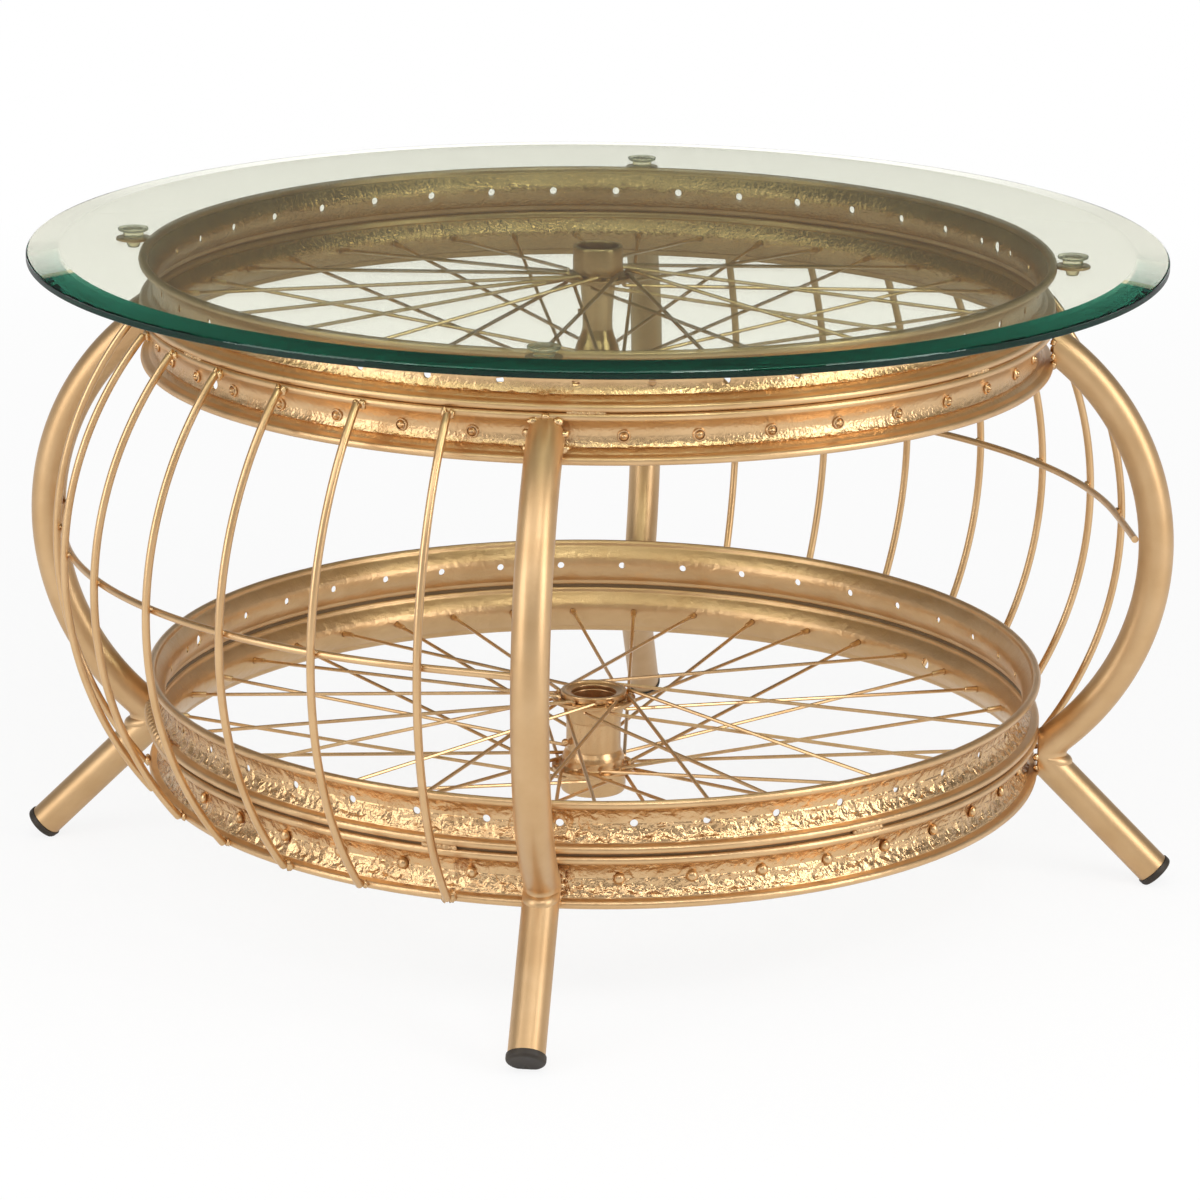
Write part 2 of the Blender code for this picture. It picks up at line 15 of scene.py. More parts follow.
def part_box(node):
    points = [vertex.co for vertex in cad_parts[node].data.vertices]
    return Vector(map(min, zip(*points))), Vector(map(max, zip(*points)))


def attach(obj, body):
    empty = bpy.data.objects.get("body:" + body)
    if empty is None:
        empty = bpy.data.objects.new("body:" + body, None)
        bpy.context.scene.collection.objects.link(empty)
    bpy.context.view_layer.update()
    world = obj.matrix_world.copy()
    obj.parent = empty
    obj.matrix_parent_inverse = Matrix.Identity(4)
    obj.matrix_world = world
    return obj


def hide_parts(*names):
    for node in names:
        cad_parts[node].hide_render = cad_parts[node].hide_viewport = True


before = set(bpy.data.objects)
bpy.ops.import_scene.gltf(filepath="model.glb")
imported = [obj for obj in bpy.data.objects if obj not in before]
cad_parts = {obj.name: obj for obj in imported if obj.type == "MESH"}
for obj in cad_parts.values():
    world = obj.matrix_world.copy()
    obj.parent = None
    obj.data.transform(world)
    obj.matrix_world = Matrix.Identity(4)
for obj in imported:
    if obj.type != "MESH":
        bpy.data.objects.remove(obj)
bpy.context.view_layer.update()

# %% [markdown]
# ## The camera
# The picture was taken with a long lens from a little above the table. Its place was worked out from
# the ellipses of the rims and the glass, so the camera is written as a stand point, a heading and a
# roll. A focal length in pixels becomes millimetres when it is divided by the picture's width and
# multiplied by the width of the sensor.

# %% Place the camera
PHOTO_PIXELS = 1200
FOCAL_PIXELS = 4210.8
SENSOR_WIDTH = 36.0
STAND_DISTANCE = 2.9404
EYE_HEIGHT = 1.0585
STAND_TURN = 0.1008
PITCH = 0.2845
YAW = 0.0013
ROLL = 0.0101

about_table = Matrix.Rotation(STAND_TURN, 3, "Z")
stand = about_table @ Vector((0.0, -STAND_DISTANCE, EYE_HEIGHT))
ahead = about_table @ Vector(
    (math.sin(YAW) * math.cos(PITCH), math.cos(YAW) * math.cos(PITCH), -math.sin(PITCH))
)
level = ahead.cross(Vector((0.0, 0.0, 1.0))).normalized()
above = level.cross(ahead)
right = math.cos(ROLL) * level + math.sin(ROLL) * above
up = math.cos(ROLL) * above - math.sin(ROLL) * level

lens = bpy.data.cameras.new("photo_camera")
lens.sensor_width = SENSOR_WIDTH
lens.lens = FOCAL_PIXELS / PHOTO_PIXELS * SENSOR_WIDTH
camera = bpy.data.objects.new("photo_camera", lens)
camera.matrix_world = Matrix.Translation(stand) @ Matrix((right, up, -ahead)).transposed().to_4x4()
bpy.context.scene.collection.objects.link(camera)
bpy.context.scene.camera = camera
print("lens in mm:", round(lens.lens, 1))

# %% [markdown]
# ## From arrays to meshes
# Every piece below is a grid of points worked out in one go with numpy. A grid becomes a mesh when
# neighbouring points are joined into four-sided faces, and it is closed by letting the last row or
# column join the first again. A closed mesh has a signed volume, which is negative when its faces
# look inwards, so one sum is enough to turn a part the right way round before parts are joined.

# %% Grids, joins and pieces
def grid_faces(rows, columns, ring_rows=False, ring_columns=True):
    """Four-sided faces between neighbours of a grid whose points are numbered row by row."""
    index = np.arange(rows * columns).reshape(rows, columns)
    if ring_columns:
        index = np.concatenate((index, index[:, :1]), axis=1)
    if ring_rows:
        index = np.concatenate((index, index[:1]), axis=0)
    around = (index[:-1, :-1], index[1:, :-1], index[1:, 1:], index[:-1, 1:])
    return np.stack(around, axis=-1).reshape(-1, 4)


def fan(ring, pole):
    """Triangles from one pole to each side of a ring of points."""
    return np.stack((np.full(len(ring), pole), ring, np.roll(ring, -1)), axis=1)


def capped_faces(rows, columns):
    """Faces of a grid of rings with a pole at each end; the poles' numbers follow the grid's."""
    count = rows * columns
    ring = np.arange(columns)
    ends = [fan(ring, count), fan(ring + count - columns, count + 1)[:, ::-1]]
    return [grid_faces(rows, columns)] + ends


def repeated(faces, copies_wanted, points_each):
    """The same faces for several copies of a part, whose points are numbered copy by copy."""
    offset = (np.arange(copies_wanted) * points_each)[:, None, None]
    return [(group[None] + offset).reshape(-1, group.shape[1]) for group in faces]


def signed_volume(points, faces):
    """A sixth of the sum of a . (b x c) over the triangles: positive when the faces look outwards."""
    corners = [group[:, [0, i, i + 1]] for group in faces for i in range(1, group.shape[1] - 1)]
    a, b, c = np.moveaxis(points[np.concatenate(corners)], 1, 0)
    return float(np.einsum("ij,ij->", a, np.cross(b, c)) / 6)


def outward(part):
    """The same part with its faces turned round where they look inwards."""
    points, faces = part
    if signed_volume(points, faces) < 0:
        faces = [group[:, ::-1] for group in faces]
    return points, faces


def join(*parts):
    """Several (points, faces) parts as one, all looking outwards, with the face numbers moved along."""
    points, faces, count = [], [], 0
    for part_points, part_faces in map(outward, parts):
        points.append(part_points)
        faces += [group + count for group in part_faces]
        count += len(part_points)
    return np.concatenate(points), faces


def mesh_object(name, points, faces, finish):
    """A mesh object at the origin, with one finish."""
    mesh = bpy.data.meshes.new(name)
    mesh.from_pydata(points.tolist(), [], [face for group in faces for face in group.tolist()])
    mesh.materials.append(finish)
    obj = bpy.data.objects.new(name, mesh)
    bpy.context.scene.collection.objects.link(obj)
    return obj


def add_piece(name, part, finish, nodes=(), body="table_frame", crease=38.0):
    """Put a part into a mesh object that rides on its body and stands for its nodes."""
    points, faces = outward(part)
    obj = mesh_object(name, points, faces, finish)
    obj.data.shade_smooth()
    obj.data.set_sharp_from_angle(angle=math.radians(crease))
    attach(obj, body)
    if nodes:
        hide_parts(*nodes)
    triangles = sum(len(group) * (group.shape[1] - 2) for group in faces)
    print(f"{name}: {triangles} triangles, {signed_volume(points, faces) * 1e6:.1f} cm3")
    return obj


# %% Turning a profile, rounding its corners and sweeping a tube
def unit(vectors):
    """Vectors of the same heading and length 1."""
    return vectors / np.linalg.norm(vectors, axis=-1, keepdims=True)


def polar(radius, azimuth, height):
    """x = r cos a, y = r sin a, z = h, for arrays of any matching shape."""
    parts = np.broadcast_arrays(radius * np.cos(azimuth), radius * np.sin(azimuth), height)
    return np.stack(parts, axis=-1).astype(float)


def turned(profile, columns, loop=True):
    """A profile of (radius, height) turned about Z: a loop, or a line from the axis to the axis."""
    profile = np.asarray(profile, dtype=float)
    ring = profile if loop else profile[1:-1]
    azimuth = np.arange(columns) * 2 * math.pi / columns
    points = polar(ring[:, :1], azimuth, ring[:, 1:]).reshape(-1, 3)
    if loop:
        return points, [grid_faces(len(ring), columns, ring_rows=True)]
    poles = polar(0.0, 0.0, profile[[0, -1], 1])
    return np.concatenate((points, poles)), capped_faces(len(ring), columns)


def bent(start, corner, end, share):
    """A quadratic curve, (1 - t)2 start + 2 t (1 - t) corner + t2 end, at each share t of its way."""
    return (1 - share) ** 2 * start + 2 * share * (1 - share) * corner + share**2 * end


LONGEST_CUT = 0.45


def eased(profile, reach, steps=5, loop=True):
    """Round the corners: from a point before each corner to one after it, on a quadratic curve."""
    corner = np.asarray(profile, dtype=float)
    share = np.linspace(0.0, 1.0, steps)[None, :, None]
    sides = []
    for shift in (1, -1):
        way = np.roll(corner, shift, axis=0) - corner
        length = np.maximum(np.linalg.norm(way, axis=1, keepdims=True), 1e-9)
        cut = np.minimum(np.reshape(reach, (-1, 1)), LONGEST_CUT * length)
        sides.append((corner + way / length * cut)[:, None, :])
    curve = bent(sides[0], corner[:, None, :], sides[1], share)
    if loop:
        return curve.reshape(-1, 2)
    return np.concatenate((corner[:1], curve[1:-1].reshape(-1, 2), corner[-1:]))


def swept(paths, radii, across, sides):
    """Circles carried along flat paths: p + r (cos f . n + sin f . s), closed by a pole at each end.

    s points across the plane of the path, and n is s x heading.
    """
    heading = unit(np.gradient(paths, axis=1))
    across = np.broadcast_to(across[:, None, :], paths.shape)
    normal = np.cross(across, heading)
    turn = (np.arange(sides) * 2 * math.pi / sides)[:, None]
    reach = np.broadcast_to(radii, paths.shape[:2])[:, :, None, None]
    rings = paths[:, :, None, :] + reach * (
        np.cos(turn) * normal[:, :, None, :] + np.sin(turn) * across[:, :, None, :]
    )
    count, rows = paths.shape[:2]
    points = np.concatenate((rings.reshape(count, -1, 3), paths[:, :1], paths[:, -1:]), axis=1)
    return points.reshape(-1, 3), repeated(capped_faces(rows, sides), count, points.shape[1])


def copies(part, origins, frames):
    """One small part at many places: o + x X + y Y + z Z, with the rows of each frame as X, Y and Z."""
    points, faces = part
    placed = origins[:, None, :] + np.einsum("pk,nkc->npc", points, frames)
    return placed.reshape(-1, 3), repeated(faces, len(origins), len(points))


def at_azimuth(part, azimuth):
    """A part turned about the table's axis."""
    c, s = math.cos(azimuth), math.sin(azimuth)
    return part[0] @ np.array(((c, s, 0.0), (-s, c, 0.0), (0.0, 0.0, 1.0))), part[1]


def hills(u, v, cells_u, cells_v, seed, slant=0.0):
    """Random heights on a lattice that wraps in u, eased between its points by 3t2 - 2t3."""
    heights = np.random.default_rng(seed).uniform(-1.0, 1.0, (cells_u, cells_v + 2))
    x = u * cells_u + slant * v * cells_v
    y = np.clip(v, 0.0, 1.0) * cells_v
    i, j = np.floor(x).astype(int), np.floor(y).astype(int)
    fx, fy = x - i, y - j
    fx, fy = fx * fx * (3 - 2 * fx), fy * fy * (3 - 2 * fy)
    i0, i1 = i % cells_u, (i + 1) % cells_u
    low = heights[i0, j] * (1 - fx) + heights[i1, j] * fx
    high = heights[i0, j + 1] * (1 - fx) + heights[i1, j + 1] * fx
    return low * (1 - fy) + high * fy


print("shape tools ready")

# %% [markdown]
# ## Writing a finish as a sum
# A shader is a graph of small nodes. Joining them by hand hides the idea, so one class wraps a socket
# and lets ordinary arithmetic add the Math nodes. Any other node comes from its one method `node`,
# which sets the node's settings first and then fills its sockets with numbers or with links.

# %% The shader helper
class Signal:
    """A shader socket; +, - and * on it add a Math node, and node() adds any other."""

    def __init__(self, tree, socket=None):
        self.tree = tree
        self.socket = socket

    def node(self, kind, settings=None, sockets=None, output=0):
        """Add one node: settings first, then values or links for its sockets; gives one output."""
        node = self.tree.nodes.new(kind)
        for key, value in (settings or {}).items():
            if key == "stops":
                while len(node.color_ramp.elements) < len(value):
                    node.color_ramp.elements.new(1.0)
                for element, (place, shade) in zip(node.color_ramp.elements, value):
                    element.position = place
                    element.color = (shade, shade, shade, 1.0)
            else:
                setattr(node, key, value)
        for key, value in (sockets or {}).items():
            if isinstance(value, Signal):
                self.tree.links.new(value.socket, node.inputs[key])
            else:
                node.inputs[key].default_value = value
        return Signal(self.tree, node.outputs[output] if len(node.outputs) else None)

    def math(self, operation, first, second):
        return self.node("ShaderNodeMath", {"operation": operation}, {0: first, 1: second})

    def __add__(self, other):
        return self.math("ADD", self, other)

    def __sub__(self, other):
        return self.math("SUBTRACT", self, other)

    def __rsub__(self, other):
        return self.math("SUBTRACT", other, self)

    def __mul__(self, other):
        return self.math("MULTIPLY", self, other)

    __radd__ = __add__
    __rmul__ = __mul__

    def blend(self, low, high):
        """A colour between two others, by this factor; a Mix node has colours as inputs 6 and 7."""
        sockets = {0: self, 6: low, 7: high}
        return self.node("ShaderNodeMix", {"data_type": "RGBA"}, sockets, output=2)

    def ramp(self, *stops):
        """This value through a ramp of (place, shade) stops."""
        return self.node("ShaderNodeValToRGB", {"stops": stops}, {0: self})


def new_finish(name):
    """An empty material and the start of its graph."""
    material = bpy.data.materials.new(name)
    material.use_nodes = True
    material.node_tree.nodes.clear()
    return material, Signal(material.node_tree)


def noise(graph, scale, detail, distortion=0.0):
    """Random values between 0 and 1 that stay with the object; a larger scale is a finer grain."""
    place = graph.node("ShaderNodeTexCoord", output="Object")
    sockets = {"Vector": place, "Scale": scale, "Detail": detail, "Distortion": distortion}
    return graph.node("ShaderNodeTexNoise", None, sockets)


def bumped(graph, height, distance, strength=1.0):
    """Normals tilted by a height, which is told in units of the distance."""
    sockets = {"Strength": strength, "Distance": distance, "Height": height}
    return graph.node("ShaderNodeBump", None, sockets)


def close_finish(graph, sockets, **others):
    """End a graph with a Principled surface; others go to the output's other sockets."""
    surface = graph.node("ShaderNodeBsdfPrincipled", None, sockets)
    graph.node("ShaderNodeOutputMaterial", None, {"Surface": surface, **others})


print("shader helper ready")

# %% [markdown]
# ## The gold paint
# The whole frame is sprayed with a warm champagne gold. It is a metallic lacquer: light is reflected
# in the colour of the paint, softly, with a fine flake that breaks the highlight and a slow change of
# tone where the coat is thicker. Tubes were smooth steel, but the old rims were pitted by rust before
# they were painted, so the lower rims get a version with a leathery bump and the upper ones a version
# with finer ripples; a mesh attribute named `hammer` turns both on in the channel and nearly off on the
# rolled beads. The tube version is a little darker, as painted shade, and one more version, much darker,
# is painted shade that lines the groove between the two lower rims.

# %% Gold on smooth tube and on pitted rims
PALE_GOLD = (0.745, 0.502, 0.268, 1.0)
DEEP_GOLD = (0.635, 0.398, 0.190, 1.0)
FLAKE_SCALE = 2200.0
LUMP_SLOPE = 0.26
PEEL_DEPTH = 0.00012


def gold_finish(name, roughness, hammered=False, painted_shade_factor=1.0, lump_scale=185.0):
    """Metallic lacquer: slow cloudy tone, fine flake in the gloss, orange peel or pits in the bump."""
    # A factor below 1 darkens both golds of the finish, as painted shade.
    shades = [tuple(c * painted_shade_factor for c in tone[:3]) + (1.0,) for tone in (DEEP_GOLD, PALE_GOLD)]
    material, graph = new_finish(name)
    cloud = noise(graph, 34.0, 3.0)
    flake = noise(graph, FLAKE_SCALE, 1.0)
    tone = cloud.ramp((0.30, 0.0), (0.70, 1.0)) * 0.7 + flake * 0.3
    gloss = roughness - 0.05 + flake * 0.10
    if hammered:
        mask = graph.node("ShaderNodeAttribute", {"attribute_name": "hammer"}, output=2)
        lumps = noise(graph, lump_scale, 0.7, distortion=0.5)
        grain = noise(graph, 800.0, 2.0)
        bump = bumped(graph, lumps * mask + grain * (mask * 0.08 + 0.11), LUMP_SLOPE / lump_scale)
        gloss = gloss - mask * 0.13
    else:
        peel = noise(graph, 420.0, 2.0)
        bump = bumped(graph, peel * 0.5 + flake * 0.06, PEEL_DEPTH)
    sockets = {
        "Base Color": tone.blend(*shades),
        "Metallic": 0.94,
        "Roughness": gloss,
        "Normal": bump,
        "Coat Weight": 0.25,
        "Coat Roughness": 0.30,
    }
    close_finish(graph, sockets)
    return material


# The tube gold is painted about a tenth darker than the rest of the frame, as painted shade.
smooth_gold = gold_finish("gold_on_tube", 0.42, painted_shade_factor=0.91)
rod_gold = gold_finish("gold_on_rod", 0.31)
rim_gold = gold_finish("gold_on_pitted_rim", 0.35, hammered=True)
ripple_gold = gold_finish("gold_on_rippled_rim", 0.38, hammered=True, lump_scale=400.0)
hub_gold = gold_finish("gold_on_hub", 0.29)
painted_seam_shade = gold_finish("painted_shade_in_seam", 0.60, painted_shade_factor=0.30)
golds = (smooth_gold, rod_gold, rim_gold, ripple_gold, hub_gold, painted_seam_shade)
print("gold finishes:", [gold.name for gold in golds])

# %% [markdown]
# ## The rims
# Each rim is one strip of steel rolled into a ring: a round bead above, a round bead below and a
# trough between them, with forty spoke holes and one larger valve hole in the floor of the trough.
# A turned section would be enough without holes. To get clean holes without a boolean, the grid has
# thirty columns between holes, the faces inside a small block of the grid are left out, and the points
# round that block move onto a circle. The same block on the inner wall is joined to it by a short tube.
# The two lower rims stand a little apart, and a thin ring of much darker gold deep in the groove between
# them is painted shade.

# %% The section of a rim
SPOKES = 40
SPOKE_TURN = 2 * math.pi / SPOKES
RIM_EDGE = 0.3248
BEAD = 0.0030
FLOOR_INSET = 0.0115
TROUGH_RISE = 0.0052
BEAD_HEIGHT = 0.0070
GROOVE = (0.0056, 0.0064)
CREASE_HEIGHT = 0.0098
CREASE_REACH = 0.0007
CREASE_DIP = 0.0016
RIM_WALL = 0.0015
INNER_LIP = (0.0069, 0.0052)
INNER_WALL_DROP = 0.0076
WALL_ROWS = 5
FLOOR_ROWS = 5
FLOOR_STEP = 0.00113
SECTOR_COLUMNS = 30
RIM_COLUMNS = SECTOR_COLUMNS * SPOKES


def trough(height, half):
    """Inset of the hollow between the beads: deepest in the middle, less towards its ends."""
    return FLOOR_INSET - TROUGH_RISE * (np.abs(height) / (half - BEAD_HEIGHT)) ** 2.2


def rim_section(height, creased):
    """Insets and heights of the section's loop: bead, trough, bead, then up the inside."""
    half = height / 2
    roll = np.radians(np.linspace(200.0, -80.0, 11))
    bead = np.stack((BEAD - BEAD * np.cos(roll), half - BEAD + BEAD * np.sin(roll)), axis=1)
    floor_heights = FLOOR_STEP * np.arange(FLOOR_ROWS, -FLOOR_ROWS - 1, -1)
    wall_heights = np.linspace(half - BEAD_HEIGHT, floor_heights[0] + 0.0012, WALL_ROWS)
    groove = np.array(((GROOVE[0], half - GROOVE[1]),))
    wall = np.stack((trough(wall_heights, half), wall_heights), axis=1)
    floor = np.stack((trough(floor_heights, half), floor_heights), axis=1)
    outer_half = np.concatenate((bead, groove, wall))
    lower_half = outer_half[::-1] * (1, -1)
    if creased:
        crease = CREASE_HEIGHT - half + CREASE_REACH * np.array((1, 0, -1))
        dip = CREASE_DIP * np.array((0, 1, 0))
        lower_half[1:4] = np.stack((trough(crease, half) + dip, crease), axis=1)
    outer = np.concatenate((outer_half, floor, lower_half))
    behind_wall = np.array((half - INNER_WALL_DROP, floor_heights[0] + 0.0010))
    behind_insets = trough(behind_wall, half) + (0.0019, 0.0016)
    inner_lip = np.array(((INNER_LIP[0], half - INNER_LIP[1]),))
    inner_wall = np.concatenate((inner_lip, np.stack((behind_insets, behind_wall), axis=1)))
    inner_floor = floor[::-1] + (RIM_WALL, 0.0)
    inner = np.concatenate((inner_wall * (1, -1), inner_floor, inner_wall[::-1]))
    middle = len(outer_half) + FLOOR_ROWS
    inner_middle = len(outer) + len(inner_wall) + FLOOR_ROWS
    return np.concatenate((outer, inner)), middle, inner_middle


def hole_ring(a, b):
    """Grid steps round a block of 2a by 2b faces, anticlockwise from its right side."""
    way = [(a, j) for j in range(0, b + 1)]
    way += [(i, b) for i in range(a - 1, -a - 1, -1)]
    way += [(-a, j) for j in range(b - 1, -b - 1, -1)]
    way += [(i, -b) for i in range(1 - a, a + 1)]
    way += [(a, j) for j in range(1 - b, 0)]
    return np.array(way)


LOWER_RIM = 0.0385
UPPER_RIM = 0.0350
print("section rows:", [len(rim_section(height, False)[0]) for height in (LOWER_RIM, UPPER_RIM)])

# %% Pits in the walls of a rim
BEAD_PITS, TROUGH_PITS, LOWER_WALL_PITS = 0.10, 0.8, 1.25
INSIDE_PITS = {True: (1.0, 1.5), False: (0.14, 0.28)}
PITS = (0.00032, 430, 22, 0.3)
FINE_PITS = (0.00012, 800, 40, -0.4)
LEAST_BUMP = 0.6


def pitted(section, middle, inner_middle, pitting, seed, creased):
    """Depth of the pits at each point of the grid, and how much of its bump each row shows.

    The trough is pitted fully, its lower wall most, the beads hardly.
    """
    travel = np.cumsum(np.linalg.norm(np.diff(section, axis=0, prepend=section[:1]), axis=1))
    u = (np.arange(RIM_COLUMNS) / RIM_COLUMNS)[None, :]
    v = (travel / travel[-1] * 0.98)[:, None]
    weights = np.full(len(section), BEAD_PITS)
    weights[middle - 10:middle + 11] = TROUGH_PITS
    weights[middle + 1:middle + 10] = LOWER_WALL_PITS
    shown = weights * max(pitting, LEAST_BUMP)
    inside = slice(inner_middle - 8, inner_middle + 9)
    weights[inside], shown[inside] = INSIDE_PITS[creased]
    depths = 0.0
    for layer, (depth, cells_u, cells_v, slant) in enumerate((PITS, FINE_PITS)):
        depths = depths + depth * hills(u, v, cells_u, cells_v, seed + layer, slant)
    return depths * pitting * weights[:, None], shown


print("cells of pits around a rim:", PITS[1], FINE_PITS[1])

# %% Rims with holes
SPOKE_HOLE = (1, 2, 0.00268)
VALVE_HOLE = (2, 3, 0.0042)
COLUMN_TURN = 2 * math.pi / RIM_COLUMNS


def make_rim(middle_height, height, turn, valve, pitting, seed, creased):
    """Radius = edge - inset + pits along the section's normal; azimuth by columns; holes as rings."""
    section, middle, inner_middle = rim_section(height, creased)
    along = unit(np.roll(section, -1, axis=0) - np.roll(section, 1, axis=0))
    pits, shown = pitted(section, middle, inner_middle, pitting, seed, creased)
    radius = RIM_EDGE - section[:, :1] - along[:, 1:] * pits
    heights = section[:, 1:] - along[:, :1] * pits
    azimuth = np.broadcast_to(turn + np.arange(RIM_COLUMNS) * COLUMN_TURN, radius.shape).copy()
    keep = np.ones(radius.shape, dtype=bool)
    walls = []
    spoke_columns = np.arange(SPOKES) * SECTOR_COLUMNS
    valve_column = np.array([valve * SECTOR_COLUMNS + SECTOR_COLUMNS // 2])
    for columns, (a, b, hole) in ((spoke_columns, SPOKE_HOLE), (valve_column, VALVE_HOLE)):
        columns = columns[:, None]
        block = (columns + np.arange(-a, a)).ravel() % RIM_COLUMNS
        steps = hole_ring(a, b)
        angle = np.arange(len(steps)) * 2 * math.pi / len(steps)
        column = (columns + steps[:, 0]) % RIM_COLUMNS
        rings = []
        for centre, row in ((middle, middle - steps[:, 1]), (inner_middle, inner_middle + steps[:, 1])):
            keep[centre - b:centre + b, block] = False
            sideways = hole * np.cos(angle) / (RIM_EDGE - FLOOR_INSET)
            azimuth[row, column] = turn + columns * COLUMN_TURN + sideways
            heights[row, column] = hole * np.sin(angle)
            rings.append(row * RIM_COLUMNS + column)
        around = (rings[0], np.roll(rings[0], -1, 1), np.roll(rings[1], -1, 1), rings[1])
        walls.append(np.stack(around, axis=-1).reshape(-1, 4))
    points = polar(radius, azimuth, heights + middle_height).reshape(-1, 3)
    used = [grid_faces(len(section), RIM_COLUMNS, ring_rows=True)[keep.ravel()], *walls]
    marks = np.unique(np.concatenate(used))
    number = np.full(len(points), -1)
    number[marks] = np.arange(len(marks))
    hammer = np.repeat(shown, RIM_COLUMNS)[marks]
    return (points[marks], [number[group] for group in used]), hammer


def set_hammer(obj, values):
    """Write how pitted each point is, for the gold's bump to read."""
    attribute = obj.data.attributes.new("hammer", "FLOAT", "POINT")
    attribute.data.foreach_set("value", np.asarray(values, dtype=np.float32))


LOWER_MIDDLE = 0.0980
LOWER_OPEN_MIDDLE = 0.1365
UPPER_MIDDLE = 0.40005
UPPER_OPEN_MIDDLE = 0.43505
SEAM_GAP = 0.0014
RIMS = (
    ("lower_spoked_rim", LOWER_MIDDLE, LOWER_RIM - SEAM_GAP, 0.0, 4, 1.3, 11),
    ("lower_open_rim", LOWER_OPEN_MIDDLE, LOWER_RIM - SEAM_GAP, math.radians(1.8), 18, 1.3, 21),
    ("upper_spoked_rim", UPPER_MIDDLE, UPPER_RIM, 0.0, 24, 0.35, 31),
    ("upper_open_rim", UPPER_OPEN_MIDDLE, UPPER_RIM, math.radians(3.3), 2, 0.55, 41),
)
for name, middle_height, height, turn, valve, pitting, seed in RIMS:
    creased = "upper" in name
    part, hammer = make_rim(middle_height, height, turn, valve, pitting, seed, creased)
    finish = ripple_gold if creased else rim_gold
    set_hammer(add_piece(name + "_rolled", part, finish, (name,), crease=60.0), hammer)

# A thin ring of much darker gold deep in the seam between the lower rims is painted shade for the
# groove.
SEAM_HEIGHT = (LOWER_MIDDLE + LOWER_OPEN_MIDDLE) / 2
SEAM_SHADE_RING = ((0.0048, 0.0017), (0.0048, -0.0017), (0.0033, -0.0017), (0.0033, 0.0017))
seam_shade_ring = turned([(RIM_EDGE - inset, SEAM_HEIGHT + rise) for inset, rise in SEAM_SHADE_RING], 240)
add_piece("lower_seam_painted_shade", seam_shade_ring, painted_seam_shade)

# %% [markdown]
# ## Spokes, nipples and hubs
# Twenty spokes go to each flange of a hub. Each one has a flat head on one side of the flange, passes
# through it, bends at an elbow and runs straight to the rim, three crossings along. Since a spoke lies
# in one plane, a circle can be carried along it with the plane's normal as one axis and never twists.
# The nipple is a small turned part; one template is copied to all forty holes along the spokes.

# %% Where each spoke starts, bends and ends
SPOKE_RADIUS = 0.00138
SPOKE_SIDES = 8
SPOKE_HEAD = (0.0012, 0.0020, 0.0020)
SHANK_STEPS = (0.0, 0.0003, 0.0008, 0.0010)
ELBOW_CUT = 0.0026
FLANGE = 0.0030
ELBOW_CLEARANCE = FLANGE / 2 + 0.0024
HOLE_RADIUS = RIM_EDGE - FLOOR_INSET - RIM_WALL / 2
LEAD = 3 * 2 * math.pi / (SPOKES // 2)


def lacing(middle_height, spacing, circle):
    """Head, elbow and rim hole of each spoke; every second one of a flange leaves its outer side."""
    k = np.arange(SPOKES)
    flange = np.where(k % 2 == 0, -1.0, 1.0)
    outer = (k // 2) % 2 == 0
    hub = k * SPOKE_TURN + np.where(outer, LEAD, -LEAD)
    side = np.where(outer, flange, -flange)
    height = middle_height + flange * spacing / 2
    head = polar(circle, hub, height - side * (FLANGE / 2 + 0.0010))
    elbow = polar(circle, hub, height + side * ELBOW_CLEARANCE)
    return head, elbow, polar(HOLE_RADIUS, k * SPOKE_TURN, middle_height)


def spoke_parts(head, elbow, hole):
    """Head disc, shank, a quadratic elbow and a straight run that ends inside the nipple."""
    rise, run = unit(elbow - head), unit(hole - elbow)
    start, end = (elbow - rise * ELBOW_CUT)[:, None], (elbow + run * ELBOW_CUT)[:, None]
    curve = bent(start, elbow[:, None], end, np.linspace(0.0, 1.0, 7)[None, :, None])
    shank = head[:, None] + rise[:, None] * np.array(SHANK_STEPS)[None, :, None]
    straight = end + (hole[:, None] - end) * np.array((0.33, 0.67, 1.0))[None, :, None]
    paths = np.concatenate((shank, curve, straight), axis=1)
    radii = np.full(paths.shape[1], SPOKE_RADIUS)
    radii[:len(SPOKE_HEAD)] = SPOKE_HEAD
    return swept(paths, radii, unit(np.cross(rise, run)), SPOKE_SIDES)


print("spoke lead in degrees:", round(math.degrees(LEAD), 1))

# %% Nipples, plain on the lower wheel and slotted in an eyelet on the upper one
NIPPLE_BODY = ((0.0, -0.0115), (0.0019, -0.0115), (0.0023, -0.0106), (0.0023, 0.0006))
PLAIN_HEAD = NIPPLE_BODY + (
    (0.0028, 0.0008), (0.0040, 0.0016), (0.0041, 0.0022), (0.0037, 0.0033), (0.0023, 0.0044),
    (0.0, 0.0048),
)
LOW_HEAD = NIPPLE_BODY + ((0.0027, 0.0008), (0.0028, 0.0020), (0.0024, 0.0024), (0.0, 0.0024))
EYELET = (
    (0.0037, 0.0004), (0.0044, 0.0012), (0.0044, 0.0018), (0.0040, 0.0023), (0.0034, 0.0023),
    (0.0031, 0.0016), (0.0030, 0.0004),
)
HALF_SLOT = 0.00035
DOME_FOOT = 0.0022
DOME = (0.0021, 0.0023, 0.0020)


def closed_tube(rings):
    """A grid of rings with a pole in the middle of each end."""
    poles = np.array((rings[0].mean(axis=0), rings[-1].mean(axis=0)))
    return np.concatenate((rings.reshape(-1, 3), poles)), capped_faces(*rings.shape[:2])


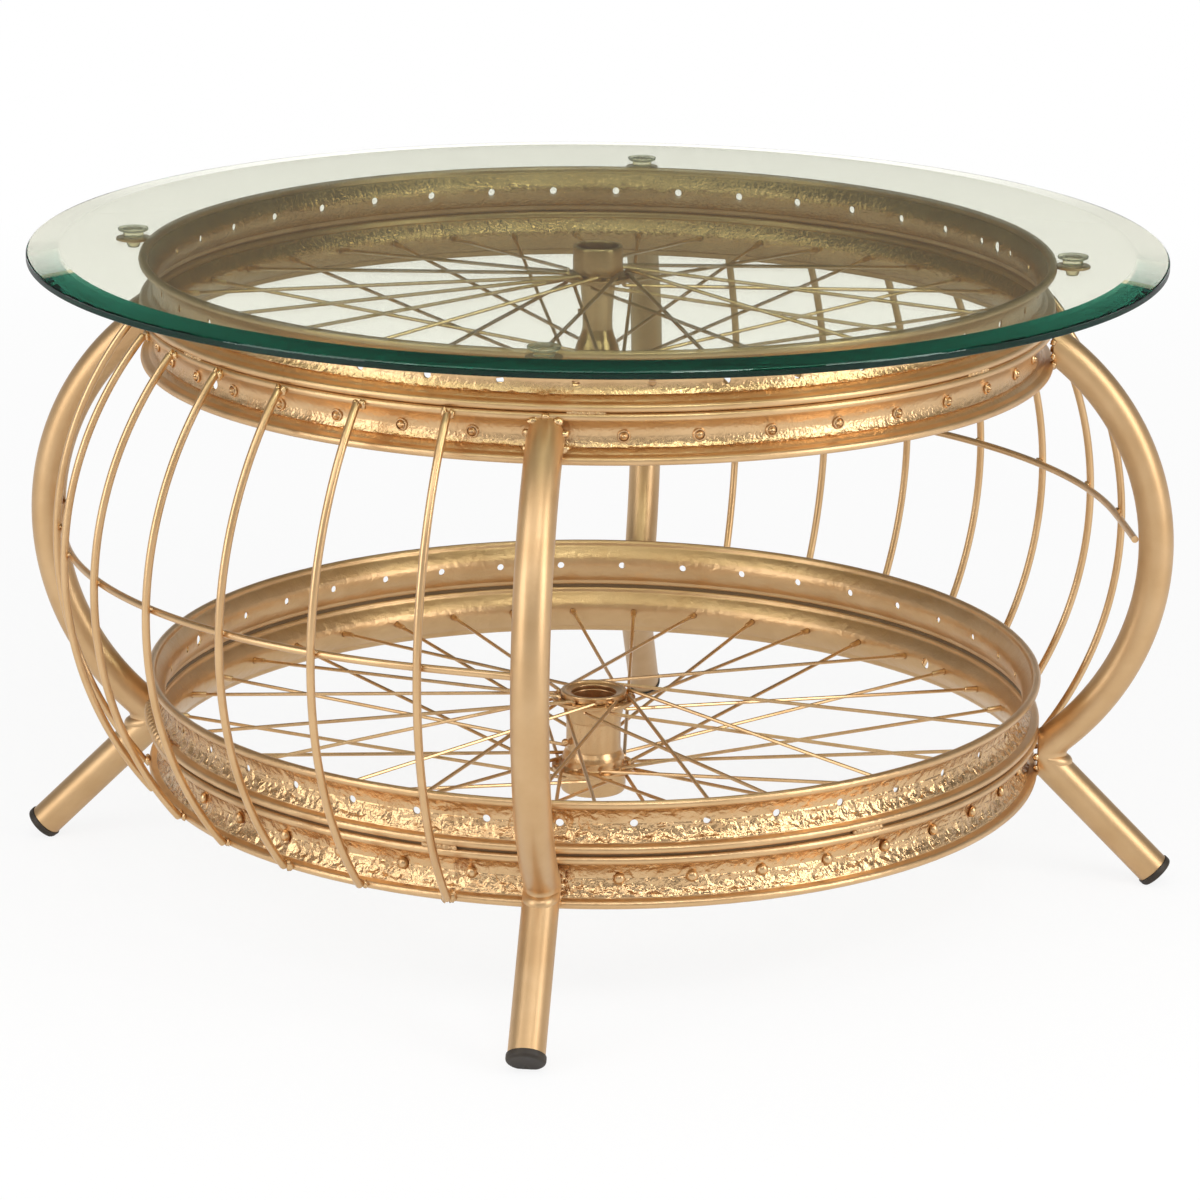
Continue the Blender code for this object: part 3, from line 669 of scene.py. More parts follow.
def half_dome(side):
    """Half of a low dome beside a slot: radius falls as the cosine of its rise, over half a turn."""
    rise = np.radians(np.array((0.0, 30.0, 58.0, 80.0)))[:, None]
    turn = np.radians(np.linspace(-90.0, 90.0, 9))[None, :]
    x = side * (HALF_SLOT + DOME[0] * np.cos(rise) * np.cos(turn))
    y = side * DOME[1] * np.cos(rise) * np.sin(turn)
    z = np.broadcast_to(DOME_FOOT + DOME[2] * np.sin(rise), x.shape)
    return closed_tube(np.stack((x, y, z), axis=-1))


def nipple_frames(run):
    """Rows X, Y, Z of each nipple's own axes, with Z along the spoke."""
    y = unit(np.cross((0.0, 0.0, 1.0), run))
    return np.stack((np.cross(y, run), y, run), axis=1)


print("nipple heads ready")

# %% [markdown]
# The two hubs differ: the upper one is slim with a waist and open bearing cups, and the lower one is a
# fat barrel with a cone, a band and a wide ring. Both are turned profiles with softened corners.

# %% Hub profiles
UPPER_CIRCLE = 0.0215
LOWER_CIRCLE = 0.0265
UPPER_SPACING = 0.065
LOWER_SPACING = 0.052
FLANGE_MARGIN = 0.0040


def upper_hub_profile():
    """Neck, flange, waist that flares at its foot, flange, neck and bore, as a loop."""
    flange, half, edge = UPPER_SPACING / 2, FLANGE / 2, UPPER_CIRCLE + FLANGE_MARGIN
    above = [(0.0135, flange + half + 0.0030), (0.0135, flange + half), (edge, flange + half)]
    above += [(edge, flange - half), (0.0146, flange - half), (0.0124, flange - half - 0.0045)]
    waist = [(0.0112, 0.0140), (0.0106, 0.0040), (0.0108, -0.0050)]
    flare = [(0.0128, -0.0115), (0.0152, -0.0170), (0.0166, -0.0230), (0.0170, half - flange)]
    foot = [(radius, -height) for radius, height in above[3::-1]]
    end = above[0][1]
    profile = above + waist + flare + foot + [(0.0085, -end), (0.0085, end)]
    return eased(profile, 0.0007)


def lower_hub_profile():
    """Flange, cone, a thin step, barrel, rounded band, flange and bore, as a loop."""
    flange, half, edge = LOWER_SPACING / 2, FLANGE / 2, LOWER_CIRCLE + FLANGE_MARGIN
    top, base = flange - half, -flange + half
    cone = [(0.0240, top), (0.0226, top - 0.0030), (0.0208, top - 0.0120)]
    step = [(0.0206, top - 0.0136), (0.0200, top - 0.0140), (0.0200, base + 0.0128)]
    band = [(0.0219, base + 0.0092), (0.0229, base + 0.0060), (0.0229, base + 0.0014), (0.0240, base)]
    ends = [(edge, base), (edge, -flange - half), (0.0165, -flange - half), (0.0165, flange + half)]
    return eased([(edge, flange + half), (edge, top)] + cone + step + band + ends, 0.0008)


def cup_profile(radius, height, race, lip):
    """A bearing cup that opens upwards: a race at its foot, a wider bore and a rounded lip."""
    bore = max(radius - 0.0031, race)
    outside = [(radius, height), (radius, 0.0)]
    inside = [(race, 0.0), (race, 0.0030), (bore, 0.0038), (bore, height)]
    return eased(outside + inside, (lip, 0.0005, 0.0003, 0.0006, 0.0012, 0.0012), 7)


def lifted(part, height, flip=False):
    """A turned part moved up, and turned upside down before that if asked."""
    points, faces = part
    if flip:
        points = points * (1, 1, -1)
    return points + (0.0, 0.0, height), faces


print("hub profiles:", len(upper_hub_profile()), len(lower_hub_profile()))

# %% Lace the wheels
HUB_COLUMNS = 72
WHEELS = (
    ("upper", UPPER_MIDDLE, UPPER_SPACING, UPPER_CIRCLE, upper_hub_profile(), LOW_HEAD),
    ("lower", LOWER_MIDDLE, LOWER_SPACING, LOWER_CIRCLE, lower_hub_profile(), PLAIN_HEAD),
)
for name, middle_height, spacing, circle, profile, head_profile in WHEELS:
    head, elbow, hole = lacing(middle_height, spacing, circle)
    run = unit(hole - elbow)
    frames = nipple_frames(run)
    nipples = copies(turned(head_profile, 12, loop=False), hole, frames)
    hub = lifted(turned(profile, HUB_COLUMNS), middle_height)
    parts = [hub, spoke_parts(head, elbow, hole), nipples]
    if name == "upper":
        radial = unit(hole * (1, 1, 0))
        eyelets = copies(turned(EYELET, 16), hole, nipple_frames(radial))
        slots = copies(join(half_dome(1.0), half_dome(-1.0)), hole, frames)
        parts += [eyelets, slots]
    add_piece(f"{name}_hub_and_spokes_laced", join(*parts), hub_gold, (f"{name}_hub_and_spokes",))

# %% Bearing cups and oil caps
CUPS = (
    ("upper_hub_top_cup", 0.0178, 0.01795, 0.0085, 0.0030),
    ("upper_hub_base_cup", 0.0178, 0.01795, 0.0085, 0.0012),
    ("lower_hub_top_cup", 0.0240, 0.0050, 0.0165, 0.0012),
    ("lower_hub_base_cup", 0.0240, 0.0160, 0.0165, 0.0045),
)
for name, radius, height, race, lip in CUPS:
    low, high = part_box(name)
    part = turned(cup_profile(radius, height, race, lip), HUB_COLUMNS)
    part = lifted(part, high.z, flip=True) if "base" in name else lifted(part, low.z)
    add_piece(name + "_turned", part, hub_gold, (name,))


def stud(profile, columns, place, azimuth):
    """A small turned part that points away from the table's axis."""
    frames = nipple_frames(polar(1.0, np.array([azimuth]), 0.0))
    return copies(turned(profile, columns, loop=False), np.array([place]), frames)


low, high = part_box("lower_hub_oil_cap")
oil_place = (low + high) / 2
BALL = 0.0028
ball_rise = np.radians(np.linspace(90.0, -58.0, 9))
ball_profile = [(BALL * math.cos(a), BALL * math.sin(a)) for a in ball_rise]
oil_profile = ball_profile + [(0.0014, -0.0027), (0.0024, -0.0029), (0.0024, -0.0038), (0.0, -0.0038)]
oil_part = stud(oil_profile, 20, tuple(oil_place), math.atan2(oil_place.y, oil_place.x))
add_piece("lower_hub_oil_cap_turned", oil_part, hub_gold, ("lower_hub_oil_cap",))

NUB_AZIMUTH = math.radians(186.0)
NUB = (
    (0.0, 0.0042), (0.0010, 0.0041), (0.0017, 0.0034), (0.0017, 0.0012), (0.0022, 0.0008), (0.0022, 0.0),
    (0.0, 0.0),
)
nub_place = polar(0.0100, NUB_AZIMUTH, UPPER_MIDDLE + 0.0075)
add_piece("upper_hub_oil_nub", stud(NUB, 16, nub_place, NUB_AZIMUTH), hub_gold)

# %% [markdown]
# ## Legs
# Each leg is a length of tube bent to an arc, welded to the upper wheel at its top, and a short straight
# foot that meets it at a mitre on the lower wheel. A bent tube is part of a torus, so its surface is a
# formula of the angle along the arc and the angle round the tube. Where a plane cuts it, the formula can
# be solved for the angle along the arc, which gives exact mitres with no boolean.

# %% The tube's arc and its cuts
LEG_TUBE = 0.0125
LEG_SEAT = 0.3243
LEG_REACH = 0.4030
FOOT_SLOPE = math.radians(45.0)
LEG_AZIMUTHS = {"right": 0.0, "back": math.pi / 2, "left": math.pi, "front": -math.pi / 2}
TUBE_COLUMNS = 56
MITRE_GAP = 0.00015

arc_half = (UPPER_MIDDLE - LOWER_MIDDLE) / 2
arc_bow = LEG_REACH - LEG_SEAT
ARC_RADIUS = (arc_half**2 + arc_bow**2) / (2 * arc_bow)
ARC_X = LEG_REACH - ARC_RADIUS
ARC_Z = (UPPER_MIDDLE + LOWER_MIDDLE) / 2
arc_end = math.asin(arc_half / ARC_RADIUS)
heading = np.array((math.sin(arc_end), math.cos(arc_end)))
foot_way = np.array((math.cos(FOOT_SLOPE), -math.sin(FOOT_SLOPE)))
mitre_way = unit(heading + foot_way)
MITRE_NORMAL = np.array((-mitre_way[1], mitre_way[0]))
JOINT = np.array((LEG_SEAT, LOWER_MIDDLE))
TUBE_TURN = np.arange(TUBE_COLUMNS) * 2 * math.pi / TUBE_COLUMNS
LEAST_FILLET = 0.0002
FILLET_REACH = 0.0060
FILLET = LEAST_FILLET + FILLET_REACH * (0.5 + 0.5 * np.cos(TUBE_TURN)) ** 1.5


def leg_bow(rows=64):
    """x = X + w cos t, z = Z + w sin t, y = a sin f with w = R + a cos f, between the cutting planes."""
    f = TUBE_TURN
    w = ARC_RADIUS + LEG_TUBE * np.cos(f)
    top = np.arccos((LEG_SEAT - ARC_X) / w)
    lean = math.atan2(MITRE_NORMAL[1], MITRE_NORMAL[0])
    level = JOINT @ MITRE_NORMAL + MITRE_GAP - ARC_X * MITRE_NORMAL[0] - ARC_Z * MITRE_NORMAL[1]
    mitre = lean - np.arccos(level / w)
    low = np.maximum(mitre, -top)
    rise = low + FILLET / w
    t = np.concatenate((low[None], rise + (top - rise) * np.linspace(0.0, 1.0, rows)[:, None]))
    y = np.broadcast_to(LEG_TUBE * np.sin(f), t.shape)
    return np.stack((ARC_X + w * np.cos(t), y, ARC_Z + w * np.sin(t)), axis=-1)


CAP_RADIUS = 0.0137
CAP_THICKNESS = 0.0056
CAP_EDGE = 0.0016
CAP_FLAT = 0.0016
sole_reach = (CAP_RADIUS - CAP_EDGE) * math.cos(FOOT_SLOPE)
side_reach = CAP_RADIUS * math.cos(FOOT_SLOPE) - CAP_EDGE * math.sin(FOOT_SLOPE)
FOOT_LENGTH = (LOWER_MIDDLE + CAP_FLAT - max(sole_reach, side_reach)) / math.sin(FOOT_SLOPE)


def leg_foot(rows=10):
    """A straight tube, joint + s F + a (cos f N + sin f Y), from the mitre or the rim to the cap."""
    f = TUBE_TURN
    normal = np.array((math.sin(FOOT_SLOPE), math.cos(FOOT_SLOPE)))
    off = LEG_TUBE * np.cos(f)
    mitre = (-MITRE_GAP - off * (normal @ MITRE_NORMAL)) / (foot_way @ MITRE_NORMAL)
    start = np.maximum(mitre, -off)
    clear = start + FILLET
    run = clear + (FOOT_LENGTH - CAP_THICKNESS - clear) * np.linspace(0.0, 1.0, rows)[:, None]
    s = np.concatenate((start[None], run))
    x = JOINT[0] + s * foot_way[0] + off * normal[0]
    z = JOINT[1] + s * foot_way[1] + off * normal[1]
    return np.stack((x, np.broadcast_to(LEG_TUBE * np.sin(f), s.shape), z), axis=-1)


LIP_DROP = 0.0054
LIP_RADIUS = 0.0054
LIP_DEPTH = 0.0034
LIP_COLUMNS = 12
LIP_TAPER = 0.3
FOOT_AXIS = np.array((foot_way[0], 0.0, foot_way[1]))


def leg_tube():
    """Bow and foot, the mitre between them filled by quadratic curves, and the weld's rounded lip."""
    bow, foot = leg_bow()[::-1], leg_foot()
    corner = (bow[-1] + foot[0]) / 2
    bend = bent(bow[-2], corner, foot[1], np.linspace(0.0, 1.0, 17)[1:-1, None, None])
    tube = closed_tube(np.concatenate((bow[:-1], bend, foot[1:])))
    front = np.arange(-LIP_COLUMNS, LIP_COLUMNS + 1)
    f = TUBE_TURN[front][:, None]
    away = np.cos(f) * (-foot_way[1], 0.0, foot_way[0]) + np.sin(f) * (0.0, 1.0, 0.0)
    lip_path = corner[front] + FOOT_AXIS * LIP_DROP - away * LIP_DEPTH
    lip_radii = LIP_RADIUS * (1.0 - LIP_TAPER * (front / LIP_COLUMNS) ** 2)
    lip_across = np.array([(MITRE_NORMAL[0], 0.0, MITRE_NORMAL[1])])
    return join(tube, swept(lip_path[None], lip_radii, lip_across, 16))


print("leg arc radius:", round(ARC_RADIUS, 4), "foot length:", round(FOOT_LENGTH, 4))

# %% [markdown]
# The feet end in dark caps of moulded plastic, a little wider than the tube and with a rounded sole
# edge. They are turned about the foot's slanting axis and worn flat where they stand on the floor.

# %% Dark moulded plastic
DARK_BROWN = (0.024, 0.016, 0.009, 1.0)
DUSTY_BROWN = (0.050, 0.036, 0.021, 1.0)


def moulded_plastic():
    """Near-black brown, with a fine matt grain and slightly dusty tone."""
    material, graph = new_finish("dark_moulded_plastic")
    dust = noise(graph, 160.0, 4.0)
    tone = dust.ramp((0.40, 0.0), (0.75, 1.0)) * 0.6
    sockets = {
        "Base Color": tone.blend(DARK_BROWN, DUSTY_BROWN),
        "Roughness": 0.42 + dust * 0.2,
        "Normal": bumped(graph, noise(graph, 1400.0, 2.0), 0.0002, strength=0.35),
    }
    close_finish(graph, sockets)
    return material


cap_plastic = moulded_plastic()
print("finish:", cap_plastic.name)

# %% Legs, feet and caps
CAP_CLEARANCE = 0.0003
SIDEWAYS = np.array((0.0, 1.0, 0.0))


def foot_cap():
    """A round-edged disc about the foot's axis; points below the floor are brought up to it."""
    wide = CAP_RADIUS - CAP_CLEARANCE
    profile = [(0.0, CAP_THICKNESS), (wide, CAP_THICKNESS), (wide, 0.0), (0.0, 0.0)]
    rounded = eased(profile, (0.0, 0.0008, 2 * CAP_EDGE, 0.0), 9, loop=False)
    points, faces = turned(rounded, 48, loop=False)
    axes = np.stack((np.cross(SIDEWAYS, -FOOT_AXIS), SIDEWAYS, -FOOT_AXIS))
    points = points @ axes + (JOINT[0], 0.0, JOINT[1]) + FOOT_AXIS * FOOT_LENGTH
    points[:, 2] = np.maximum(points[:, 2], 0.0)
    return points, faces


for name, azimuth in LEG_AZIMUTHS.items():
    tube = at_azimuth(leg_tube(), azimuth)
    add_piece(f"leg_{name}_tube", tube, smooth_gold, (f"leg_bow_{name}", f"leg_foot_{name}"))
    cap, node = at_azimuth(foot_cap(), azimuth), f"foot_cap_{name}"
    add_piece(node + "_moulded", cap, cap_plastic, (node,))

# %% [markdown]
# ## Cages of rods
# On two opposite quarters, seven thin rods bow out from the lower wheel to the upper one, with a wire
# hoop welded inside them. A rod is an arc in an upright plane and the hoop is a curve in a level one, so
# both can be swept with a fixed axis across their plane.

# %% Rods and hoops
ROD_RADIUS = 0.0028
ROD_SEAT = 0.3274
ROD_REACH = 0.3870
ROD_LOW = 0.0820
ROD_HIGH = 0.4143
RODS = 7
ROD_ENDS = (0.55, 0.88)
WIRE_RADIUS = 0.0026
WIRE_HEIGHT = 0.2590
QUARTERS = {"front_left": math.pi, "back_right": 0.0}

rod_half = (ROD_HIGH - ROD_LOW) / 2
rod_bow = ROD_REACH - ROD_SEAT
ROD_ARC = (rod_half**2 + rod_bow**2) / (2 * rod_bow)
ROD_MIDDLE = (ROD_HIGH + ROD_LOW) / 2


def arc_radius(height, reach, arc, middle):
    """Distance from the table's axis of an upright arc at a height."""
    return reach - arc + np.sqrt(arc**2 - (height - middle) ** 2)


def rod_parts(azimuths):
    """Arcs from the lowest bead to the bead under the upper seam, with rounded ends."""
    spread = math.asin(rod_half / ROD_ARC)
    t = np.concatenate(([-1.0, -0.997], np.linspace(-0.99, 0.99, 45), [0.997, 1.0])) * spread
    radius = ROD_REACH - ROD_ARC + ROD_ARC * np.cos(t)
    paths = polar(radius[None, :], azimuths[:, None], (ROD_MIDDLE + ROD_ARC * np.sin(t))[None, :])
    radii = np.full(len(t), ROD_RADIUS)
    radii[[0, -1]] *= ROD_ENDS[0]
    radii[[1, -2]] *= ROD_ENDS[1]
    across = polar(1.0, azimuths + math.pi / 2, 0.0)
    return swept(paths, radii, across, 16)


def hoop_path(start):
    """A level curve inside the rods that eases out to the leg at each end."""
    share = np.linspace(0.0, 1.0, 97)
    inner = ROD_RADIUS + WIRE_RADIUS
    along_rods = arc_radius(WIRE_HEIGHT, ROD_REACH, ROD_ARC, ROD_MIDDLE) - inner
    at_legs = arc_radius(WIRE_HEIGHT, LEG_REACH, ARC_RADIUS, ARC_Z) - LEG_TUBE - WIRE_RADIUS
    ease = np.maximum(0.0, 1 - np.minimum(share, 1 - share) * (RODS + 1))
    radius = along_rods + (at_legs - along_rods) * ease**2
    return polar(radius, start + share * math.pi / 2, WIRE_HEIGHT)


UPWARD = np.array([(0.0, 0.0, 1.0)])
rod_azimuths = []
for quarter, start in QUARTERS.items():
    rod_azimuths.append(start + np.arange(1, RODS + 1) * math.pi / 2 / (RODS + 1))
    nodes = [f"{quarter}_rod_{k}" for k in range(1, RODS + 1)]
    add_piece(f"{quarter}_rods_bowed", rod_parts(rod_azimuths[-1]), rod_gold, nodes)
    hoop = swept(hoop_path(start)[None], WIRE_RADIUS, UPWARD, 16)
    add_piece(f"{quarter}_wire_bent", hoop, rod_gold, (f"{quarter}_wire",))

# %% [markdown]
# ## Welds
# The parts are held by small lumpy welds that the paint has run over. Each is a little ball whose points
# are pushed in and out by seeded random numbers, stretched along the table's outward, sideways and
# upward directions. They are placed in whole arrays: rod ends, hoop crossings, leg ends and patches on
# the seams. One longer weld on the lower seam is a ribbed bead, swept with a radius that comes and goes.

# %% Lumps of weld
BALL_RINGS = (28.0, 58.0, 90.0, 122.0, 152.0)
BALL_SIDES = 8


def weld_lumps(radius, azimuth, height, size, seed):
    """Rough balls of five rings of points, scaled outward, sideways and up."""
    radius, azimuth, height = np.broadcast_arrays(radius, azimuth, height)
    count = radius.size
    rng = np.random.default_rng(seed)
    fall = np.radians(np.array(BALL_RINGS))[:, None]
    turn = np.arange(BALL_SIDES) * 2 * math.pi / BALL_SIDES
    ball = polar(np.sin(fall), turn, np.cos(fall)).reshape(-1, 3)
    ball = np.concatenate((ball, ((0.0, 0.0, 1.0), (0.0, 0.0, -1.0))))
    rough = 1 + 0.16 * rng.normal(size=(count, len(ball), 1)).clip(-2, 2)
    stretch = 1 + 0.18 * rng.normal(size=(count, 1, 3)).clip(-1.5, 1.5)
    out, aside, rise = np.moveaxis(ball * rough * np.asarray(size) * stretch, -1, 0)
    a, out = azimuth.ravel()[:, None], out + radius.ravel()[:, None]
    x, y = out * np.cos(a) - aside * np.sin(a), out * np.sin(a) + aside * np.cos(a)
    points = np.stack((x, y, height.ravel()[:, None] + rise), axis=-1).reshape(-1, 3)
    return points, repeated(capped_faces(len(BALL_RINGS), BALL_SIDES), count, len(ball))


print("points in a lump:", len(BALL_RINGS) * BALL_SIDES + 2)

# %% Welds of rods, hoops and legs
WELD_CREASE = 80.0
WELD_PITS = 0.8
ROD_WELD = (0.0022, 0.0026, 0.0036)
HOOP_WELD = (0.0016, 0.0034, 0.0018)
BOW_WELD = (0.0026, 0.0036, 0.0027)
FOOT_WELD = (0.0018, 0.0024, 0.0020)
ROD_WELD_RADIUS = 0.3256
ROD_WELD_INSET = 0.0012

every_rod = np.concatenate(rod_azimuths)
beside_rod = np.repeat((-0.0026, 0.0026), len(every_rod)) / RIM_EDGE
rod_twice = np.tile(every_rod, 2) + beside_rod
hoop_radius = arc_radius(WIRE_HEIGHT, ROD_REACH, ROD_ARC, ROD_MIDDLE) - 0.003
rod_welds = join(
    weld_lumps(ROD_WELD_RADIUS, rod_twice, ROD_HIGH - ROD_WELD_INSET, ROD_WELD, 3),
    weld_lumps(ROD_WELD_RADIUS, rod_twice, ROD_LOW + ROD_WELD_INSET, ROD_WELD, 4),
    weld_lumps(hoop_radius, every_rod, WIRE_HEIGHT + 0.0016, HOOP_WELD, 5),
)
bow_round = np.radians(np.array((-150, -115, -75, -40, 0, 40, 75, 115, 150, 180)))
bow_w = ARC_RADIUS + LEG_TUBE * np.cos(bow_round)
bow_top_z = ARC_Z + bow_w * np.sin(np.arccos((LEG_SEAT - ARC_X) / bow_w))
foot_round = np.radians(np.array((95, 125, 155, 180, 205, 235, 265)))
foot_z = LOWER_MIDDLE + LEG_TUBE * np.cos(foot_round) / math.cos(FOOT_SLOPE)
leg_angles = np.array(list(LEG_AZIMUTHS.values()))[:, None]
bow_side, foot_side = [LEG_TUBE * np.sin(way) / LEG_SEAT for way in (bow_round, foot_round)]
leg_welds = join(
    weld_lumps(0.3243, leg_angles + bow_side, bow_top_z, BOW_WELD, 6),
    weld_lumps(0.3238, leg_angles + foot_side, foot_z, FOOT_WELD, 7),
)
for name, welds in (("rod_welds", rod_welds), ("leg_welds", leg_welds)):
    set_hammer(add_piece(name, welds, rim_gold, crease=WELD_CREASE), np.full(len(welds[0]), WELD_PITS))

# %% Welds on the seams
UPPER_SEAM_HEIGHT = (UPPER_MIDDLE + UPPER_OPEN_MIDDLE) / 2
SEAM_SHIFT = 0.3
seam_centres = np.radians(np.array((-102.6, -49.3, 14.0, 78.0, 131.0, 201.0)))
seam_azimuths = (seam_centres[:, None] + np.linspace(-0.034, 0.034, 15)).ravel()
seam_welds = join(
    weld_lumps(0.3232, seam_azimuths, SEAM_HEIGHT, (0.0014, 0.0020, 0.0020), 8),
    weld_lumps(0.3226, seam_azimuths + SEAM_SHIFT, UPPER_SEAM_HEIGHT, (0.0014, 0.0020, 0.0018), 9),
)
add_piece("seam_welds", seam_welds, smooth_gold, crease=WELD_CREASE)

RIPPLES = 15
RIPPLE_RADIUS = 0.0042
RIPPLE_AZIMUTHS = np.radians(np.array((188.0, 209.0)))
ripple_share = np.linspace(0.0, 1.0, RIPPLES * 8 + 1)
ripple_ends = np.sqrt(np.clip(np.minimum(ripple_share, 1 - ripple_share) * 14, 0.04, 1.0))
ripple_swell = 0.66 + 0.58 * np.abs(np.cos(ripple_share * RIPPLES * math.pi))
ripple_azimuth = RIPPLE_AZIMUTHS[0] + (RIPPLE_AZIMUTHS[1] - RIPPLE_AZIMUTHS[0]) * ripple_share
ripple_path = polar(0.3222, ripple_azimuth, LOWER_OPEN_MIDDLE - LOWER_RIM / 2 + 0.0038)
ripple_bead = swept(ripple_path[None], RIPPLE_RADIUS * ripple_ends * ripple_swell, UPWARD, 12)
add_piece("seam_ripple_weld", ripple_bead, smooth_gold, crease=WELD_CREASE)

# %% [markdown]
# ## Glass and its pads
# Four washers on the top bead hold soft clear buttons, and the pane simply lies on them. The pane is
# ordinary float glass: clear through its thickness, green where light travels a long way inside it.
# That colour comes from Volume Absorption, which darkens with distance, so the broad bevel at the front,
# where light is trapped between the two faces, turns dark teal by itself. It needs more light bounces
# than usual.

# %% Clear rubber and float glass
PANE_TINT = (0.93, 1.0, 0.87, 1.0)
DEEP_GREEN = (0.35, 0.70, 0.67, 1.0)
LIGHT_BOUNCES = 160


def clear_rubber():
    """Yellowed clear rubber: light passes, softly."""
    material, graph = new_finish("clear_rubber_button")
    haze = noise(graph, 500.0, 2.0)
    sockets = {
        "Base Color": haze.blend((0.78, 0.75, 0.55, 1.0), (0.95, 0.93, 0.78, 1.0)),
        "Roughness": 0.10 + haze * 0.10,
        "IOR": 1.25,
        "Transmission Weight": 0.88,
    }
    close_finish(graph, sockets)
    return material


def float_glass():
    """Clear glass whose volume takes red away first, then blue."""
    material, graph = new_finish("green_float_glass")
    sockets = {
        "Base Color": PANE_TINT,
        "Roughness": 0.0,
        "IOR": 1.52,
        "Transmission Weight": 1.0,
    }
    depth_of_green = {"Color": DEEP_GREEN, "Density": 10.0}
    close_finish(graph, sockets, Volume=graph.node("ShaderNodeVolumeAbsorption", None, depth_of_green))
    return material


rubber = clear_rubber()
glass = float_glass()
for setting in ("max_bounces", "glossy_bounces", "transmission_bounces"):
    setattr(bpy.context.scene.cycles, setting, LIGHT_BOUNCES)
print("finishes:", rubber.name, glass.name)

# %% Washers, buttons and the pane
WASHER = ((0.0125, 0.0), (0.0125, -0.0020), (0.0042, -0.0020), (0.0042, 0.0))
BUTTON = (
    (0.0, 0.0069), (0.0109, 0.0069), (0.0110, 0.0060), (0.0104, 0.0047), (0.0074, 0.0040),
    (0.0070, 0.0003), (0.0039, 0.0003), (0.0039, -0.0023), (0.0058, -0.0023), (0.0039, -0.0073),
    (0.0, -0.0073),
)
PAD_COLUMNS = 48
for name in LEG_AZIMUTHS:
    low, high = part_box(f"pad_washer_{name}")
    centre = np.array(((low.x + high.x) / 2, (low.y + high.y) / 2, high.z))
    points, faces = turned(eased(WASHER, 0.0005), PAD_COLUMNS)
    washer, washer_node = (points + centre, faces), f"pad_washer_{name}"
    add_piece(washer_node + "_pressed", washer, smooth_gold, (washer_node,))
    points, faces = turned(eased(BUTTON, 0.0006, loop=False), PAD_COLUMNS, loop=False)
    button, button_node = (points + centre, faces), f"glass_pad_{name}"
    add_piece(button_node + "_soft", button, rubber, (button_node,))

low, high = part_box("glass_top")
PANE = 0.403
BEVEL = 0.0235
PANE_EDGE = 0.0052
PANE_CHAMFER = 0.0005
ROUNDED_EDGE = (
    (0.0013, 0.00012), (0.0008, -0.00004), (0.0004, -0.0003), (0.0001, -0.0008), (0.0, -0.0013),
)
thick = high.z - low.z
pane_profile = [(0.0, thick), (PANE / 2, thick), (PANE - BEVEL, thick)]
pane_profile += [(PANE - inset, PANE_EDGE + rise) for inset, rise in ROUNDED_EDGE]
pane_profile += [(PANE, PANE_CHAMFER), (PANE - PANE_CHAMFER, 0.0), (PANE / 2, 0.0), (0.0, 0.0)]
pane = lifted(turned(pane_profile, 320, loop=False), low.z)
add_piece("glass_top_bevelled", pane, glass, ("glass_top",), body="glass_top", crease=3.0)

# %% [markdown]
# ## Floor and light
# The table stands in a white studio. The floor is a plain pale plane that keeps a soft shadow; for rays
# from the camera, and for those that the metal or the glass sends on, it is mixed with a steady white so
# that it meets the white world without an edge. The pane takes some light from every ray that crosses
# it, so the floor away from the table and the world are set brighter for those rays. Reflections meet a
# dimmer room, which keeps the gold deep, and rays that turn many times inside the pane have steps of
# their own. Softboxes stand on the left, on the right, above and in front, and give the tubes a wide
# light side and a thin bright line; a small key at the front right sharpens the pits of the rims.

# %% Floor
WARM_WHITE = (1.80, 1.62, 1.62, 1.0)
UNDER_WHITE = (0.96, 0.97, 1.02, 1.0)
THROUGH_SKY = (1.45, 1.18, 0.90, 1.0)
WHITE = (1.0, 1.0, 1.0, 1.0)
DIM_WHITE = (0.22, 0.22, 0.22, 1.0)
MANY_TURNS = 8.5
ENDLESS_TURNS = 30.5


def ray_kinds(graph):
    """Whether a ray comes from the camera, any gloss, through glass or a mirror gloss, as 0 or 1."""
    kinds = ("Is Camera Ray", "Is Glossy Ray", "Is Singular Ray", "Is Transmission Ray")
    seen, soft, sharp, through = [graph.node("ShaderNodeLightPath", output=kind) for kind in kinds]
    gloss = graph.math("MAXIMUM", soft, sharp) * (1.0 - through)
    return seen, gloss, through, sharp * (1.0 - through)


def inside_turns(graph):
    """Whether a ray was trapped in the pane, and whether it only crossed it from edge to edge."""
    turns = graph.node("ShaderNodeLightPath", output="Glossy Depth")
    trapped = graph.math("GREATER_THAN", turns, MANY_TURNS)
    return trapped, trapped - graph.math("GREATER_THAN", turns, ENDLESS_TURNS)


PALE_GREY = (0.92, 0.92, 0.92, 1.0)
RAMP_REACH = 5.0
NEAR_SHOWN, NEAR_GLOSS, NEAR_SHARP = 0.86, 0.36, 0.30
FAR_GLOSS = 0.6

